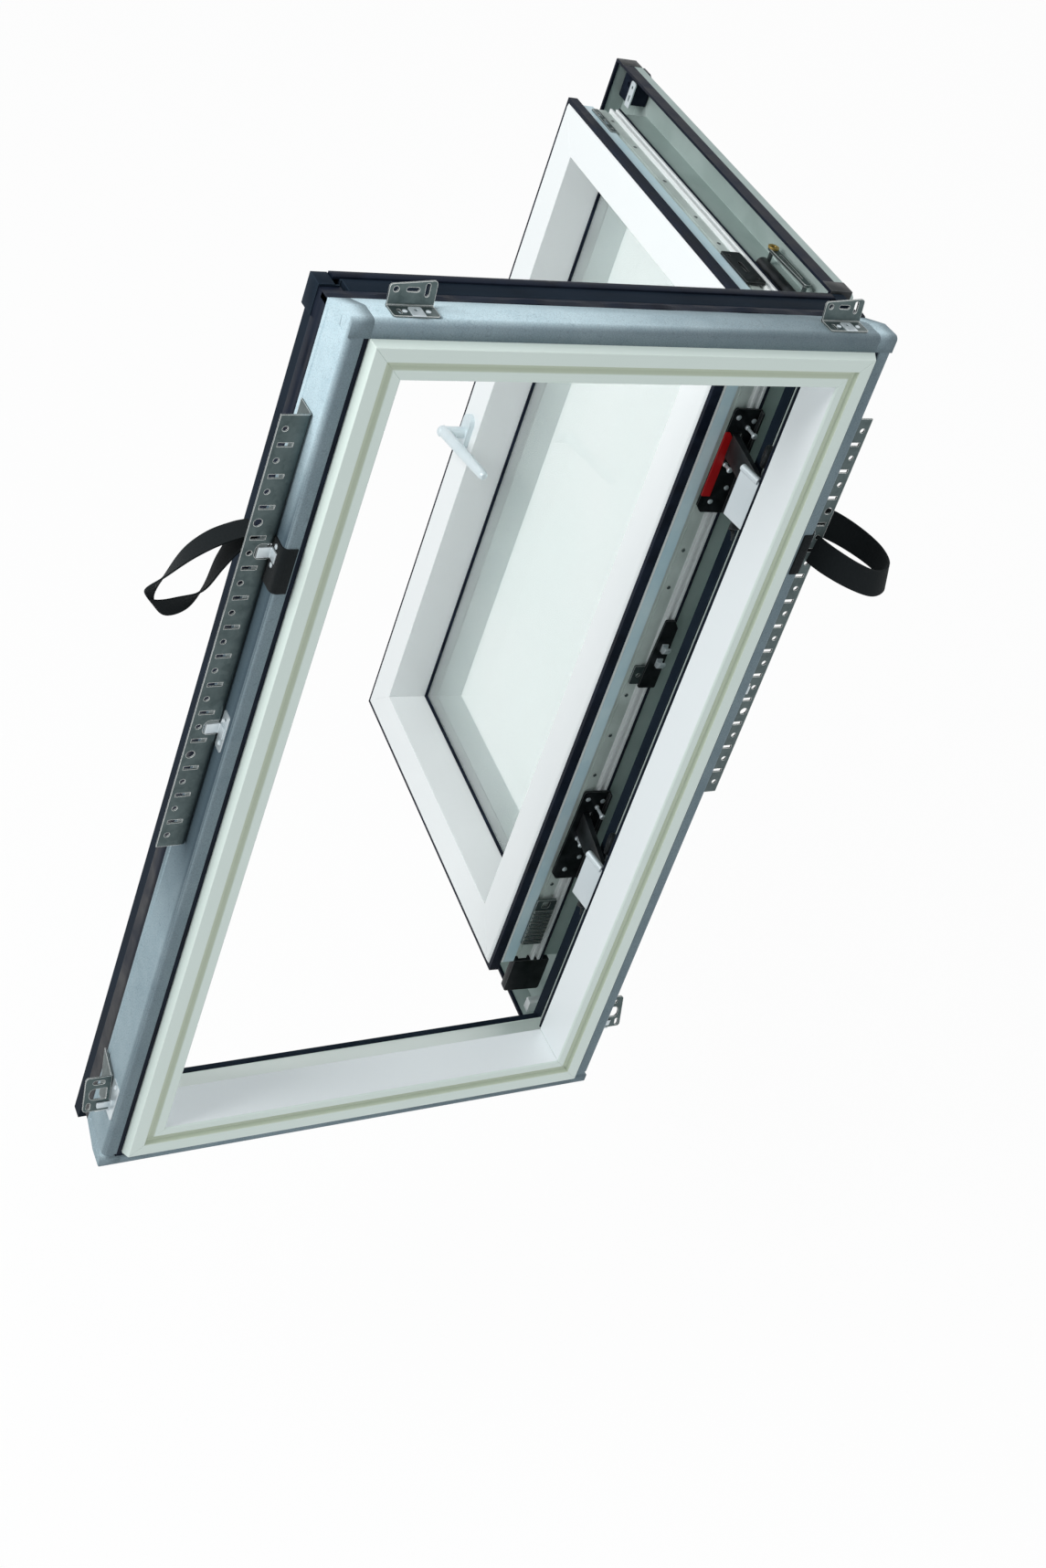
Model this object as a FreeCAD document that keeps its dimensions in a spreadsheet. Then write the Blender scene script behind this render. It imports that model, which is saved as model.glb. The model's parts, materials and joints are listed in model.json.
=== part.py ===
import FreeCAD, Part
import Sketcher
import math
import os
import re

# Side-hung roof window, sash swung open about ninety degrees, seen with its mounting hardware.
# Lengths are in millimetres. While modelling, X is to the right seen from the room, Y points
# outdoors, Z is up and the centre of the white frame's room face is zero. At the end all pieces
# move so that the zero point lies on the contact face of the left mounting rail.

os.makedirs("parts", exist_ok=True)
doc = FreeCAD.newDocument("RoofWindow")
sheet = doc.addObject("Spreadsheet::Sheet", "Sizes")

SIZES = {
    # white frame
    "frame_width": 650, "frame_height": 1180, "frame_depth": 110.6,
    "frame_bevel": 6, "frame_bevel_depth": 4,
    "lining_groove_start": 27, "lining_groove_width": 6, "lining_groove_depth": 8,
    "frame_face": 43.7, "reveal_depth": 58.5,
    "ridge_width": 2.5, "ridge_drop": 2, "rear_lip_width": 6, "rear_lip_height": 4,
    "jamb_seal_width": 12, "jamb_seal_thickness": 3,
    # insulation collar
    "collar_seal_width": 8.3, "collar_seal_recess": 3, "collar_seal_depth": 12,
    "insulation_side": 25, "insulation_end": 22, "insulation_depth": 75,
    "insulation_rear_end": 9, "insulation_slope_start": 40, "insulation_edge": 4,
    "insulation_groove_at": 64, "insulation_groove_width": 4, "insulation_groove_depth": 2,
    # outer cladding of the frame
    "cladding_start": 100, "cladding_depth": 26, "cladding_sheet": 1.5, "cladding_radius": 9,
    "cladding_lap": 5, "cladding_bottom": 625, "cladding_sill": 22,
    # mounting rails
    "rail_seat": 33, "rail_length": 586, "rail_centre": 190, "rail_flange": 36,
    "rail_leg": 32, "rail_sheet": 2, "rail_bend": 6,
    "rail_pitch": 39.4, "rail_rows": 15, "rail_hole": 6.5,
    "rail_slot_length": 17.5, "rail_slot_width": 5, "rail_hole_inset": 9,
    "rail_slot_inset": 14, "rail_large_hole": 10, "rail_large_row": 3,
    "clip_spacing": 240, "clip_sheet": 1.5, "clip_height": 13, "clip_tongue": 18, "clip_foot": 15,
    "clip_hole": 5, "window_height": 20, "window_width": 16, "window_inset": 5, "window_depth": 4,
    # brackets
    "bracket_sheet": 2.5, "bracket_seat": 40,
    "top_bracket_width": 54, "top_bracket_height": 28, "top_bracket_rise": 8,
    "top_bracket_foot": 26, "top_bracket_left": 276, "top_bracket_right": 282,
    "bracket_hole": 6.5, "bracket_slot_length": 15, "bracket_slot_width": 6,
    "low_bracket_height": 46, "low_bracket_centre": 503, "low_bracket_flange": 37,
    "low_bracket_leg": 30, "low_bracket_window": 9,
    # lifting straps
    "strap_width": 38, "strap_thickness": 2, "strap_height": 300, "strap_reach": 95,
    "strap_drop": 60, "strap_seat": 52, "strap_pad_height": 70, "strap_pad_width": 30,
    "strap_pad_thickness": 3,
    # sash
    "opening_angle": 93.95, "pivot_right": 322.7, "pivot_depth": 132.8,
    "sash_seat": 60, "sash_clearance": 1.5, "sash_face": 57, "sash_depth": 130,
    "sash_reveal": 66, "sash_bevel": 3, "channel_start": 43, "channel_end": 80, "channel_depth": 9,
    "gasket_depth": 17, "gasket_bulge": 6.5,
    "pane": 4, "pane_gap": 16, "glass_bite": 12, "spacer_inset": 3, "spacer_width": 9,
    "glazing_seal": 3,
    # outer cover of the sash
    "cover_side": 45.5, "cover_top": 58, "cover_bottom": 106, "cover_start": 84,
    "cover_bevel_start": 115, "cover_bevel": 15, "cover_sheet": 2,
    # handle
    "rose_height": 62, "rose_width": 28, "rose_thickness": 9, "lever_rise": 40,
    "lever_length": 150, "lever_diameter": 17, "lever_neck": 16, "lever_tilt": 10,
    # hinges and lock hardware on the hinge stile
    "hinge_plate_height": 132, "hinge_plate_width": 38, "hinge_plate_sheet": 3,
    "hinge_upper_centre": 336, "hinge_lower_centre": -306, "hinge_plate_start": 48,
    "hinge_arm_height": 44, "hinge_arm_sheet": 4, "hinge_arm_inset": 18, "hinge_arm_depth": 72,
    "seat_gap": 0.3,
    "marker_height": 84, "marker_width": 13, "marker_thickness": 1.5,
    "catch_centre": 25, "catch_height": 110, "catch_width": 24, "catch_rise": 12,
    "drive_height": 150, "drive_width": 24, "drive_rise": 10,
}

for row, (name, value) in enumerate(SIZES.items(), start=1):
    sheet.set("A%d" % row, name)
    sheet.set("B%d" % row, str(value))
    sheet.setAlias("B%d" % row, name)
doc.recompute()


def bound(text):
    """Expression text with every size name pointed at the sheet."""
    return re.sub(r"[a-z_]+", lambda m: "Sizes." + m.group() if m.group() in SIZES else m.group(), str(text))


def mm(text):
    """Value of an expression of size names."""
    return float(sheet.evalExpression(bound(text)))


PIECES = []
SIDES = {"bottom": 0, "left": 90, "top": 180, "right": 270}
Y_AXIS = FreeCAD.Vector(0, 1, 0)
Z_AXIS = FreeCAD.Vector(0, 0, 1)


def spot(x=0, y=0, z=0, turn=0):
    """Placement from size expressions, turned about Y."""
    return FreeCAD.Placement(FreeCAD.Vector(mm(x), mm(y), mm(z)), FreeCAD.Rotation(Y_AXIS, turn))


SASH_OPEN = FreeCAD.Placement(
    FreeCAD.Vector(mm("pivot_right"), mm("pivot_depth"), 0),
    FreeCAD.Rotation(Z_AXIS, -mm("opening_angle"))
).multiply(FreeCAD.Placement(FreeCAD.Vector(-mm("pivot_right"), -mm("pivot_depth"), 0), FreeCAD.Rotation()))
FIXED = FreeCAD.Placement()


def keep(piece, label, place, carrier=FIXED):
    """Names a finished piece and puts it where the window or the open sash carries it."""
    piece.Label = label
    piece.Placement = carrier.multiply(place)
    PIECES.append(piece)
    return piece


def new_body(name):
    return doc.addObject("PartDesign::Body", name)


def plane(body, role):
    return [item for item in body.Origin.OriginFeatures if item.Role == role][0]


def new_sketch(body, name, role, offset=None):
    sketch = body.newObject("Sketcher::SketchObject", name)
    sketch.AttachmentSupport = [(plane(body, role), "")]
    sketch.MapMode = "FlatFace"
    if offset:
        sketch.setExpression("AttachmentOffset.Base.z", bound(offset))
    return sketch


def fix_point(sketch, geometry, end, x, y):
    """Holds one point of the sketch at two size expressions."""
    for kind, text in (("DistanceX", x), ("DistanceY", y)):
        index = sketch.addConstraint(Sketcher.Constraint(kind, -1, 1, geometry, end, mm(text)))
        sketch.setExpression("Constraints[%d]" % index, bound(text))


def polygon(sketch, corners):
    """Closed outline through corners given as pairs of size expressions."""
    ends = [FreeCAD.Vector(mm(x), mm(y), 0) for x, y in corners]
    first = sketch.GeometryCount
    count = len(ends)
    for i in range(count):
        sketch.addGeometry(Part.LineSegment(ends[i], ends[(i + 1) % count]))
    for i in range(count):
        sketch.addConstraint(Sketcher.Constraint("Coincident", first + i, 2, first + (i + 1) % count, 1))
    for i, (x, y) in enumerate(corners):
        fix_point(sketch, first + i, 1, x, y)


def rounded(sketch, corners):
    """Closed outline, anticlockwise; a corner given with a third expression has that radius."""
    count = len(corners)
    points = [FreeCAD.Vector(mm(c[0]), mm(c[1]), 0) for c in corners]
    radii = [mm(c[2]) if len(c) > 2 else 0 for c in corners]
    ahead = [(points[(i + 1) % count] - points[i]).normalize() for i in range(count)]
    turns = []
    for i in range(count):
        cross = ahead[i - 1].cross(ahead[i]).z
        turns.append(math.atan2(cross, ahead[i - 1].dot(ahead[i])))
    cut = [radii[i] * math.tan(abs(turns[i]) / 2) for i in range(count)]
    first = sketch.GeometryCount
    for i in range(count):
        start = points[i] + ahead[i] * cut[i]
        end = points[(i + 1) % count] - ahead[i] * cut[(i + 1) % count]
        sketch.addGeometry(Part.LineSegment(start, end))
    for i in range(count):
        before, after = first + (i - 1) % count, first + i
        if not radii[i]:
            sketch.addConstraint(Sketcher.Constraint("Coincident", before, 2, after, 1))
            fix_point(sketch, after, 1, corners[i][0], corners[i][1])
            continue
        left_hand = 1 if turns[i] > 0 else -1
        side = FreeCAD.Vector(-ahead[i].y, ahead[i].x, 0) * left_hand
        centre = points[i] + ahead[i] * cut[i] + side * radii[i]
        ends = [points[i] - ahead[i - 1] * cut[i], points[i] + ahead[i] * cut[i]]
        angles = [math.atan2(e.y - centre.y, e.x - centre.x) for e in ends]
        if left_hand < 0:
            angles.reverse()
        if angles[1] < angles[0]:
            angles[1] += 2 * math.pi
        arc = sketch.addGeometry(Part.ArcOfCircle(Part.Circle(centre, Z_AXIS, radii[i]), *angles))
        into, out = (1, 2) if left_hand > 0 else (2, 1)
        sketch.addConstraint(Sketcher.Constraint("Tangent", before, 2, arc, into))
        sketch.addConstraint(Sketcher.Constraint("Tangent", arc, out, after, 1))
        size = sketch.addConstraint(Sketcher.Constraint("Radius", arc, radii[i]))
        sketch.setExpression("Constraints[%d]" % size, bound(corners[i][2]))
        knot = sketch.addGeometry(Part.Point(points[i]), True)
        sketch.addConstraint(Sketcher.Constraint("PointOnObject", knot, 1, before))
        sketch.addConstraint(Sketcher.Constraint("PointOnObject", knot, 1, after))
        fix_point(sketch, knot, 1, corners[i][0], corners[i][1])


def rectangle(sketch, left, low, right, high):
    polygon(sketch, [(left, low), (right, low), (right, high), (left, high)])


def circle(sketch, x, y, diameter):
    centre = FreeCAD.Vector(mm(x), mm(y), 0)
    index = sketch.addGeometry(Part.Circle(centre, Z_AXIS, mm(diameter) / 2))
    fix_point(sketch, index, 3, x, y)
    size = sketch.addConstraint(Sketcher.Constraint("Diameter", index, mm(diameter)))
    sketch.setExpression("Constraints[%d]" % size, bound(diameter))


def pad(body, sketch, length, both=False, back=False):
    feature = body.newObject("PartDesign::Pad", sketch.Name + "Pad")
    feature.Profile = sketch
    feature.SideType = "Symmetric" if both else "One side"
    feature.Reversed = back
    feature.setExpression("Length", bound(length))
    body.Tip = feature
    return feature


def cut_through(body, sketch):
    feature = body.newObject("PartDesign::Pocket", sketch.Name + "Cut")
    feature.Profile = sketch
    feature.Type = "ThroughAll"
    feature.SideType = "Symmetric"
    body.Tip = feature
    return feature


def cut_deep(body, sketch, depth, forward=False):
    """Pocket of a given depth, against the sketch's normal or along it."""
    feature = body.newObject("PartDesign::Pocket", sketch.Name + "Cut")
    feature.Profile = sketch
    feature.SideType = "One side"
    feature.Reversed = forward
    feature.setExpression("Length", bound(depth))
    body.Tip = feature
    return feature


def bar(name, profile, length):
    """Straight bar along X with its profile given as (depth, height) pairs."""
    body = new_body(name)
    sketch = new_sketch(body, name + "Profile", "YZ_Plane")
    polygon(sketch, profile)
    pad(body, sketch, length, both=True)
    return body


def mitred_bar(name, profile, length, band, low_run, high_run):
    """Bar whose two ends are cut back by their runs at the height `band`."""
    body = bar(name, profile, length)
    sketch = new_sketch(body, name + "Mitre", "XZ_Plane")
    for sign, run in (("-", low_run), ("", high_run)):
        end = "%s(%s) / 2" % (sign, length)
        inner = "%s((%s) / 2 - 1.2 * (%s))" % (sign, length, run)
        polygon(sketch, [(end, "0"), (inner, "1.2 * (%s)" % band), (end, "1.2 * (%s)" % band)])
    cut_through(body, sketch)
    return body


def ring(name, width, height, thickness, depth):
    """Flat rectangular ring, depth along Y."""
    body = new_body(name)
    sketch = new_sketch(body, name + "Outline", "XZ_Plane")
    for inset in ("0", thickness):
        half_x = "(%s) / 2 - (%s)" % (width, inset)
        half_z = "(%s) / 2 - (%s)" % (height, inset)
        rectangle(sketch, "-(%s)" % half_x, "-(%s)" % half_z, half_x, half_z)
    pad(body, sketch, depth, back=True)
    return body


OPENING_X = "(frame_width / 2 - frame_face)"
OPENING_Z = "(frame_height / 2 - frame_face)"

# white frame: four mitred members with a lining groove, a square reveal and a sloping rear
FRAME_PROFILE = [
    ("frame_bevel_depth", "0"),
    ("0", "frame_bevel"),
    ("0", "lining_groove_start"),
    ("lining_groove_depth", "lining_groove_start"),
    ("lining_groove_depth", "lining_groove_start + lining_groove_width"),
    ("0", "lining_groove_start + lining_groove_width"),
    ("0", "frame_face"),
    ("reveal_depth", "frame_face"),
    ("reveal_depth + ridge_drop", "frame_face - ridge_width"),
    ("frame_depth - rear_lip_height", "rear_lip_width"),
    ("frame_depth - rear_lip_height", "rear_lip_width / 2"),
    ("frame_depth", "rear_lip_width / 2"),
    ("frame_depth", "0"),
]
EDGE = {
    "bottom": ("0", "-frame_height / 2"),
    "left": ("-frame_width / 2", "0"),
    "top": ("0", "frame_height / 2"),
    "right": ("frame_width / 2", "0"),
}
for side, turn in SIDES.items():
    length = "frame_width" if side in ("bottom", "top") else "frame_height"
    member = mitred_bar("Frame" + side.title(), FRAME_PROFILE, length, "frame_face", "frame_face",
                        "frame_face")
    keep(member, "frame_member_" + side, spot(EDGE[side][0], 0, EDGE[side][1], turn))

# black seal on the rear slope of the hinge jamb, just behind the ridge
slope = math.atan2(mm("frame_face - ridge_width - rear_lip_width"),
                   mm("frame_depth - rear_lip_height - reveal_depth - ridge_drop"))
seal = new_body("JambSeal")
seal_sketch = new_sketch(seal, "JambSealProfile", "XY_Plane")
rectangle(seal_sketch, "-jamb_seal_thickness", "0", "0", "jamb_seal_width")
pad(seal, seal_sketch, "frame_height - 2 * frame_face", both=True)
seal_place = FreeCAD.Placement(
    FreeCAD.Vector(mm(OPENING_X + " + ridge_width"), mm("reveal_depth + ridge_drop"), 0),
    FreeCAD.Rotation(Z_AXIS, -math.degrees(slope)))
keep(seal, "hinge_jamb_seal", seal_place)

# insulation collar: a black joint strip at the front and four foam blocks
collar = ring("CollarSeal", "frame_width + 2 * collar_seal_width", "frame_height + 2 * collar_seal_width",
              "collar_seal_width", "collar_seal_depth - collar_seal_recess")
keep(collar, "collar_seal", spot(0, "collar_seal_recess", 0))

SIDE_FOAM = [
    ("0", "collar_seal_width"),
    ("0", "insulation_side - insulation_edge"),
    ("insulation_edge", "insulation_side"),
    ("insulation_groove_at - insulation_groove_width / 2", "insulation_side"),
    ("insulation_groove_at", "insulation_side - insulation_groove_depth"),
    ("insulation_groove_at + insulation_groove_width / 2", "insulation_side"),
    ("insulation_depth", "insulation_side"),
    ("insulation_depth", "0"),
    ("collar_seal_depth", "0"),
    ("collar_seal_depth", "collar_seal_width"),
]
END_FOAM = [
    ("0", "collar_seal_width"),
    ("0", "insulation_end - insulation_edge"),
    ("insulation_edge", "insulation_end"),
    ("insulation_slope_start", "insulation_end"),
    ("insulation_depth", "insulation_rear_end"),
    ("insulation_depth", "0"),
    ("collar_seal_depth", "0"),
    ("collar_seal_depth", "collar_seal_width"),
]
for side, turn in SIDES.items():
    # a foam block lies on the outside of its frame member, so its profile is turned half round
    if side in ("bottom", "top"):
        block = bar("Insulation" + side.title(), END_FOAM, "frame_width + 2 * insulation_side")
    else:
        block = bar("Insulation" + side.title(), SIDE_FOAM, "frame_height")
    keep(block, "insulation_block_" + side, spot(EDGE[side][0], 0, EDGE[side][1], turn + 180))

# black gasket behind the foam and the folded metal cladding behind that
CLAD_GASKET = "(cladding_start - insulation_depth)"
gasket_body = new_body("CladdingGasket")
gasket_sketch = new_sketch(gasket_body, "CladdingGasketOutline", "XZ_Plane")
rectangle(gasket_sketch, "-(frame_width / 2 + insulation_side)", "-(frame_height / 2 + cladding_sill)",
          "frame_width / 2 + insulation_side", "frame_height / 2 + insulation_rear_end")
rectangle(gasket_sketch, "-frame_width / 2", "-frame_height / 2", "frame_width / 2", "frame_height / 2")
pad(gasket_body, gasket_sketch, CLAD_GASKET, back=True)
keep(gasket_body, "cladding_gasket", spot(0, "insulation_depth", 0))


def cladding(name, reach, length):
    """Folded sheet: outer wall, rounded rear corner, rear wall and a lip down on the frame."""
    body = new_body(name)
    sketch = new_sketch(body, name + "Profile", "YZ_Plane")
    start = "cladding_start"
    end = "cladding_start + cladding_depth"
    sheet_in = "cladding_sheet"
    polygon(sketch, [
        (start, "cladding_sheet"),
        (start, reach),
        (end + " - cladding_radius", reach),
        (end, reach + " - cladding_radius * 0.8"),
        (end, "-cladding_lap"),
        ("frame_depth", "-cladding_lap"),
        ("frame_depth", "-cladding_lap + cladding_sheet"),
        (end + " - " + sheet_in, "-cladding_lap + cladding_sheet"),
        (end + " - " + sheet_in, reach + " - cladding_radius * 0.8"),
        (end + " - cladding_radius", reach + " - cladding_sheet"),
        (start + " + cladding_sheet", reach + " - cladding_sheet"),
        (start + " + cladding_sheet", "cladding_sheet"),
    ])
    pad(body, sketch, length, both=True)
    return body


SIDE_CLADDING = "(cladding_bottom + frame_height / 2 + insulation_rear_end)"
SIDE_CLADDING_MIDDLE = "(frame_height / 2 + insulation_rear_end - cladding_bottom) / 2"
END_CLADDING = "(frame_width - 2 * cladding_lap)"
for side, turn in SIDES.items():
    if side in ("left", "right"):
        sheet_piece = cladding("Cladding" + side.title(), "insulation_side", SIDE_CLADDING)
        place = spot(EDGE[side][0], 0, SIDE_CLADDING_MIDDLE, turn + 180)
    else:
        reach = "insulation_rear_end" if side == "top" else "cladding_sill"
        sheet_piece = cladding("Cladding" + side.title(), reach, END_CLADDING)
        place = spot(0, 0, EDGE[side][1], turn + 180)
    keep(sheet_piece, "cladding_" + side, place)

# mounting rails: steel angles with alternating round holes and slots
RAIL_FACE = "(frame_width / 2 + insulation_side)"


def mounting_rail(name):
    body = new_body(name)
    profile = new_sketch(body, name + "Profile", "XY_Plane")
    rounded(profile, [
        ("0", "0", "rail_bend"), ("rail_flange", "0"), ("rail_flange", "rail_sheet"),
        ("rail_sheet", "rail_sheet", "rail_bend - rail_sheet"), ("rail_sheet", "rail_leg"), ("0", "rail_leg"),
    ])
    pad(body, profile, "rail_length", both=True)
    holes = new_sketch(body, name + "Holes", "XZ_Plane")
    rows = int(mm("rail_rows"))
    large = int(mm("rail_large_row"))
    for i in range(rows):
        row = "((rail_rows - 1) / 2 - %d) * rail_pitch" % i
        kind = "rail_large_hole" if i in (large, rows - 1 - large) else "rail_hole"
        circle(holes, "rail_flange - rail_hole_inset", row, kind)
    for i in range(rows - 1):
        row = "((rail_rows - 2) / 2 - %d) * rail_pitch" % i
        left = "rail_flange - rail_slot_inset - rail_slot_length / 2"
        right = "rail_flange - rail_slot_inset + rail_slot_length / 2"
        rectangle(holes, left, row + " - rail_slot_width / 2", right, row + " + rail_slot_width / 2")
    cut_through(body, holes)
    windows = new_sketch(body, name + "Windows", "XZ_Plane")
    far = "window_inset + window_width"
    for step in ("-1", "1"):
        middle = "%s * clip_spacing / 2" % step
        low, high = middle + " - window_height / 2", middle + " + window_height / 2"
        rounded(windows, [
            ("0", low), (far, low, "window_height * 0.35"), (far, high, "window_height * 0.35"), ("0", high),
        ])
    cut_deep(body, windows, "window_depth")
    return body


for side, sign in (("left", -1), ("right", 1)):
    rail = mounting_rail("Rail" + side.title())
    # the left rail is the right one turned half round about Y
    turn = 0 if side == "right" else 180
    middle = "rail_centre"
    place = spot("%d * %s" % (sign, RAIL_FACE), "rail_seat", middle, turn)
    keep(rail, "mounting_rail_" + side, place)

# steel clips: a tongue lying in the window of the rail and a foot on the foam
for side, sign in (("left", -1), ("right", 1)):
    body = new_body("RailClips" + side.title())
    for step in (-1, 1):
        profile = new_sketch(body, body.Name + ("Low" if step < 0 else "High"), "XY_Plane",
                             "%d * clip_spacing / 2" % step)
        rounded(profile, [
            ("0", "-clip_foot"), ("clip_sheet", "-clip_foot"), ("clip_sheet", "0"), ("clip_tongue", "0"),
            ("clip_tongue", "clip_sheet"), ("0", "clip_sheet"),
        ])
        pad(body, profile, "clip_height", both=True)
    turn = 0 if side == "right" else 180
    keep(body, "rail_clips_" + side, spot("%d * %s" % (sign, RAIL_FACE), "rail_seat", "rail_centre", turn))


def bracket(name, width, flange, foot):
    """Bent steel plate: a flange that stands up and a foot that runs towards the room."""
    body = new_body(name)
    profile = new_sketch(body, name + "Profile", "YZ_Plane")
    polygon(profile, [
        ("0", "0"), ("-(%s)" % foot, "0"), ("-(%s)" % foot, "bracket_sheet"),
        ("-bracket_sheet", "bracket_sheet"), ("-bracket_sheet", flange), ("0", flange),
    ])
    pad(body, profile, width, both=True)
    return body


# top brackets: flange with a round hole, a slot across and a slot along
for side, sign in (("left", -1), ("right", 1)):
    body = bracket("TopBracket" + side.title(), "top_bracket_width",
                   "top_bracket_height + top_bracket_rise", "top_bracket_foot")
    shape = new_sketch(body, body.Name + "Edge", "XZ_Plane")
    polygon(shape, [
        ("-top_bracket_width / 2", "top_bracket_height"),
        ("top_bracket_width / 2", "top_bracket_height + top_bracket_rise"),
        ("-top_bracket_width / 2", "top_bracket_height + top_bracket_rise"),
    ])
    circle(shape, "-top_bracket_width / 2 + bracket_hole * 1.4", "top_bracket_height - bracket_hole", "bracket_hole")
    cut_through(body, shape)
    slots = new_sketch(body, body.Name + "Slots", "XZ_Plane")
    rectangle(slots, "-bracket_slot_length / 2", "top_bracket_height - bracket_slot_width * 1.5",
              "bracket_slot_length / 2", "top_bracket_height - bracket_slot_width / 2")
    rectangle(slots, "top_bracket_width / 2 - bracket_slot_width * 1.9",
              "top_bracket_height - bracket_slot_length",
              "top_bracket_width / 2 - bracket_slot_width * 0.9", "top_bracket_height")
    cut_through(body, slots)
    where = "%d * top_bracket_%s" % (sign, side)
    keep(body, "top_bracket_" + side,
         spot(where, "bracket_seat", "frame_height / 2 + insulation_end"))

# lower brackets: flange with two slots and a window, leg along the foam
for side, sign in (("left", -1), ("right", 1)):
    body = new_body("LowBracket" + side.title())
    profile = new_sketch(body, body.Name + "Profile", "XY_Plane")
    polygon(profile, [
        ("0", "0"), ("low_bracket_flange", "0"), ("low_bracket_flange", "bracket_sheet"),
        ("bracket_sheet", "bracket_sheet"), ("bracket_sheet", "low_bracket_leg"), ("0", "low_bracket_leg"),
    ])
    pad(body, profile, "low_bracket_height", both=True)
    cuts = new_sketch(body, body.Name + "Cuts", "XZ_Plane")
    for step in ("-1", "1"):
        middle = "%s * low_bracket_height * 0.35" % step
        rectangle(cuts, "low_bracket_flange / 2 - bracket_slot_length / 2",
                  middle + " - bracket_slot_width / 2",
                  "low_bracket_flange / 2 + bracket_slot_length / 2",
                  middle + " + bracket_slot_width / 2")
    circle(cuts, "low_bracket_flange / 2", "0", "low_bracket_window")
    cut_through(body, cuts)
    turn = 0 if side == "right" else 180
    keep(body, "lower_bracket_" + side,
         spot("%d * %s" % (sign, RAIL_FACE), "rail_seat", "-low_bracket_centre", turn))


def strap(name):
    """Flat webbing bent into an open loop and sewn to a pad on the foam."""
    body = new_body(name)
    outline = new_sketch(body, name + "Loop", "XZ_Plane")
    polygon(outline, [
        ("strap_thickness", "0"), ("strap_reach * 0.6", "-strap_drop * 0.35"), ("strap_reach", "-strap_drop"),
        ("strap_reach * 0.97", "-strap_drop - 14"), ("strap_reach * 0.75", "-strap_drop - 8"),
        ("strap_reach * 0.25", "-strap_drop * 0.75"), ("strap_thickness", "-strap_drop * 0.6"),
    ])
    polygon(outline, [
        ("strap_thickness * 3", "-strap_thickness * 1.5"),
        ("strap_reach * 0.6 - strap_thickness", "-strap_drop * 0.35 - strap_thickness"),
        ("strap_reach - strap_thickness", "-strap_drop"),
        ("strap_reach * 0.97 - strap_thickness", "-strap_drop - 11.5"),
        ("strap_reach * 0.75", "-strap_drop - 8 + strap_thickness"),
        ("strap_reach * 0.25", "-strap_drop * 0.75 + strap_thickness"),
        ("strap_thickness * 2.5", "-strap_drop * 0.6 + strap_thickness * 1.2"),
    ])
    pad(body, outline, "strap_width", both=True)
    return body


for side, sign in (("left", -1), ("right", 1)):
    body = strap("Strap" + side.title())
    outline = new_sketch(body, body.Name + "Pad", "XZ_Plane")
    rectangle(outline, "0", "-strap_pad_height", "strap_thickness", "strap_thickness * 2")
    pad(body, outline, "strap_pad_width", both=True)
    # the left strap is turned about Z, so that both loops hang down
    place = spot("%d * %s" % (sign, RAIL_FACE), "rail_seat + rail_leg + strap_width / 2", "strap_height")
    if side == "left":
        place = place.multiply(FreeCAD.Placement(FreeCAD.Vector(), FreeCAD.Rotation(Z_AXIS, 180)))
    keep(body, "lifting_strap_" + side, place)

# sash: four mitred members round the glass, carried open by the hinges
SASH_WIDTH = "(frame_width - 2 * frame_face - 2 * sash_clearance)"
SASH_HEIGHT = "(frame_height - 2 * frame_face - 2 * sash_clearance)"
SASH_PROFILE = [
    ("sash_bevel", "0"),
    ("0", "sash_bevel"),
    ("0", "sash_face"),
    ("sash_reveal - glazing_seal", "sash_face"),
    ("sash_reveal - glazing_seal", "sash_face - glass_bite"),
    ("sash_depth", "sash_face - glass_bite"),
    ("sash_depth", "0"),
    ("channel_end", "0"),
    ("channel_end", "channel_depth"),
    ("channel_start", "channel_depth"),
    ("channel_start", "0"),
]
SASH_NAMES = {"bottom": "bottom", "left": "free", "top": "top", "right": "hinge"}
SASH_EDGE = {
    "bottom": ("0", "-%s / 2" % SASH_HEIGHT),
    "left": ("-%s / 2" % SASH_WIDTH, "0"),
    "top": ("0", "%s / 2" % SASH_HEIGHT),
    "right": ("%s / 2" % SASH_WIDTH, "0"),
}
for side, turn in SIDES.items():
    length = SASH_WIDTH if side in ("bottom", "top") else SASH_HEIGHT
    member = mitred_bar("Sash" + side.title(), SASH_PROFILE, length, "sash_face", "sash_face",
                        "sash_face")
    place = spot(SASH_EDGE[side][0], "sash_seat", SASH_EDGE[side][1], turn)
    keep(member, "sash_member_" + SASH_NAMES[side], place, SASH_OPEN)

bulge = ring("SashGasket", SASH_WIDTH + " + 2 * gasket_bulge", SASH_HEIGHT + " + 2 * gasket_bulge",
             "gasket_bulge", "gasket_depth - sash_bevel")
keep(bulge, "sash_gasket", spot(0, "sash_seat + sash_bevel", 0), SASH_OPEN)

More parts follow.
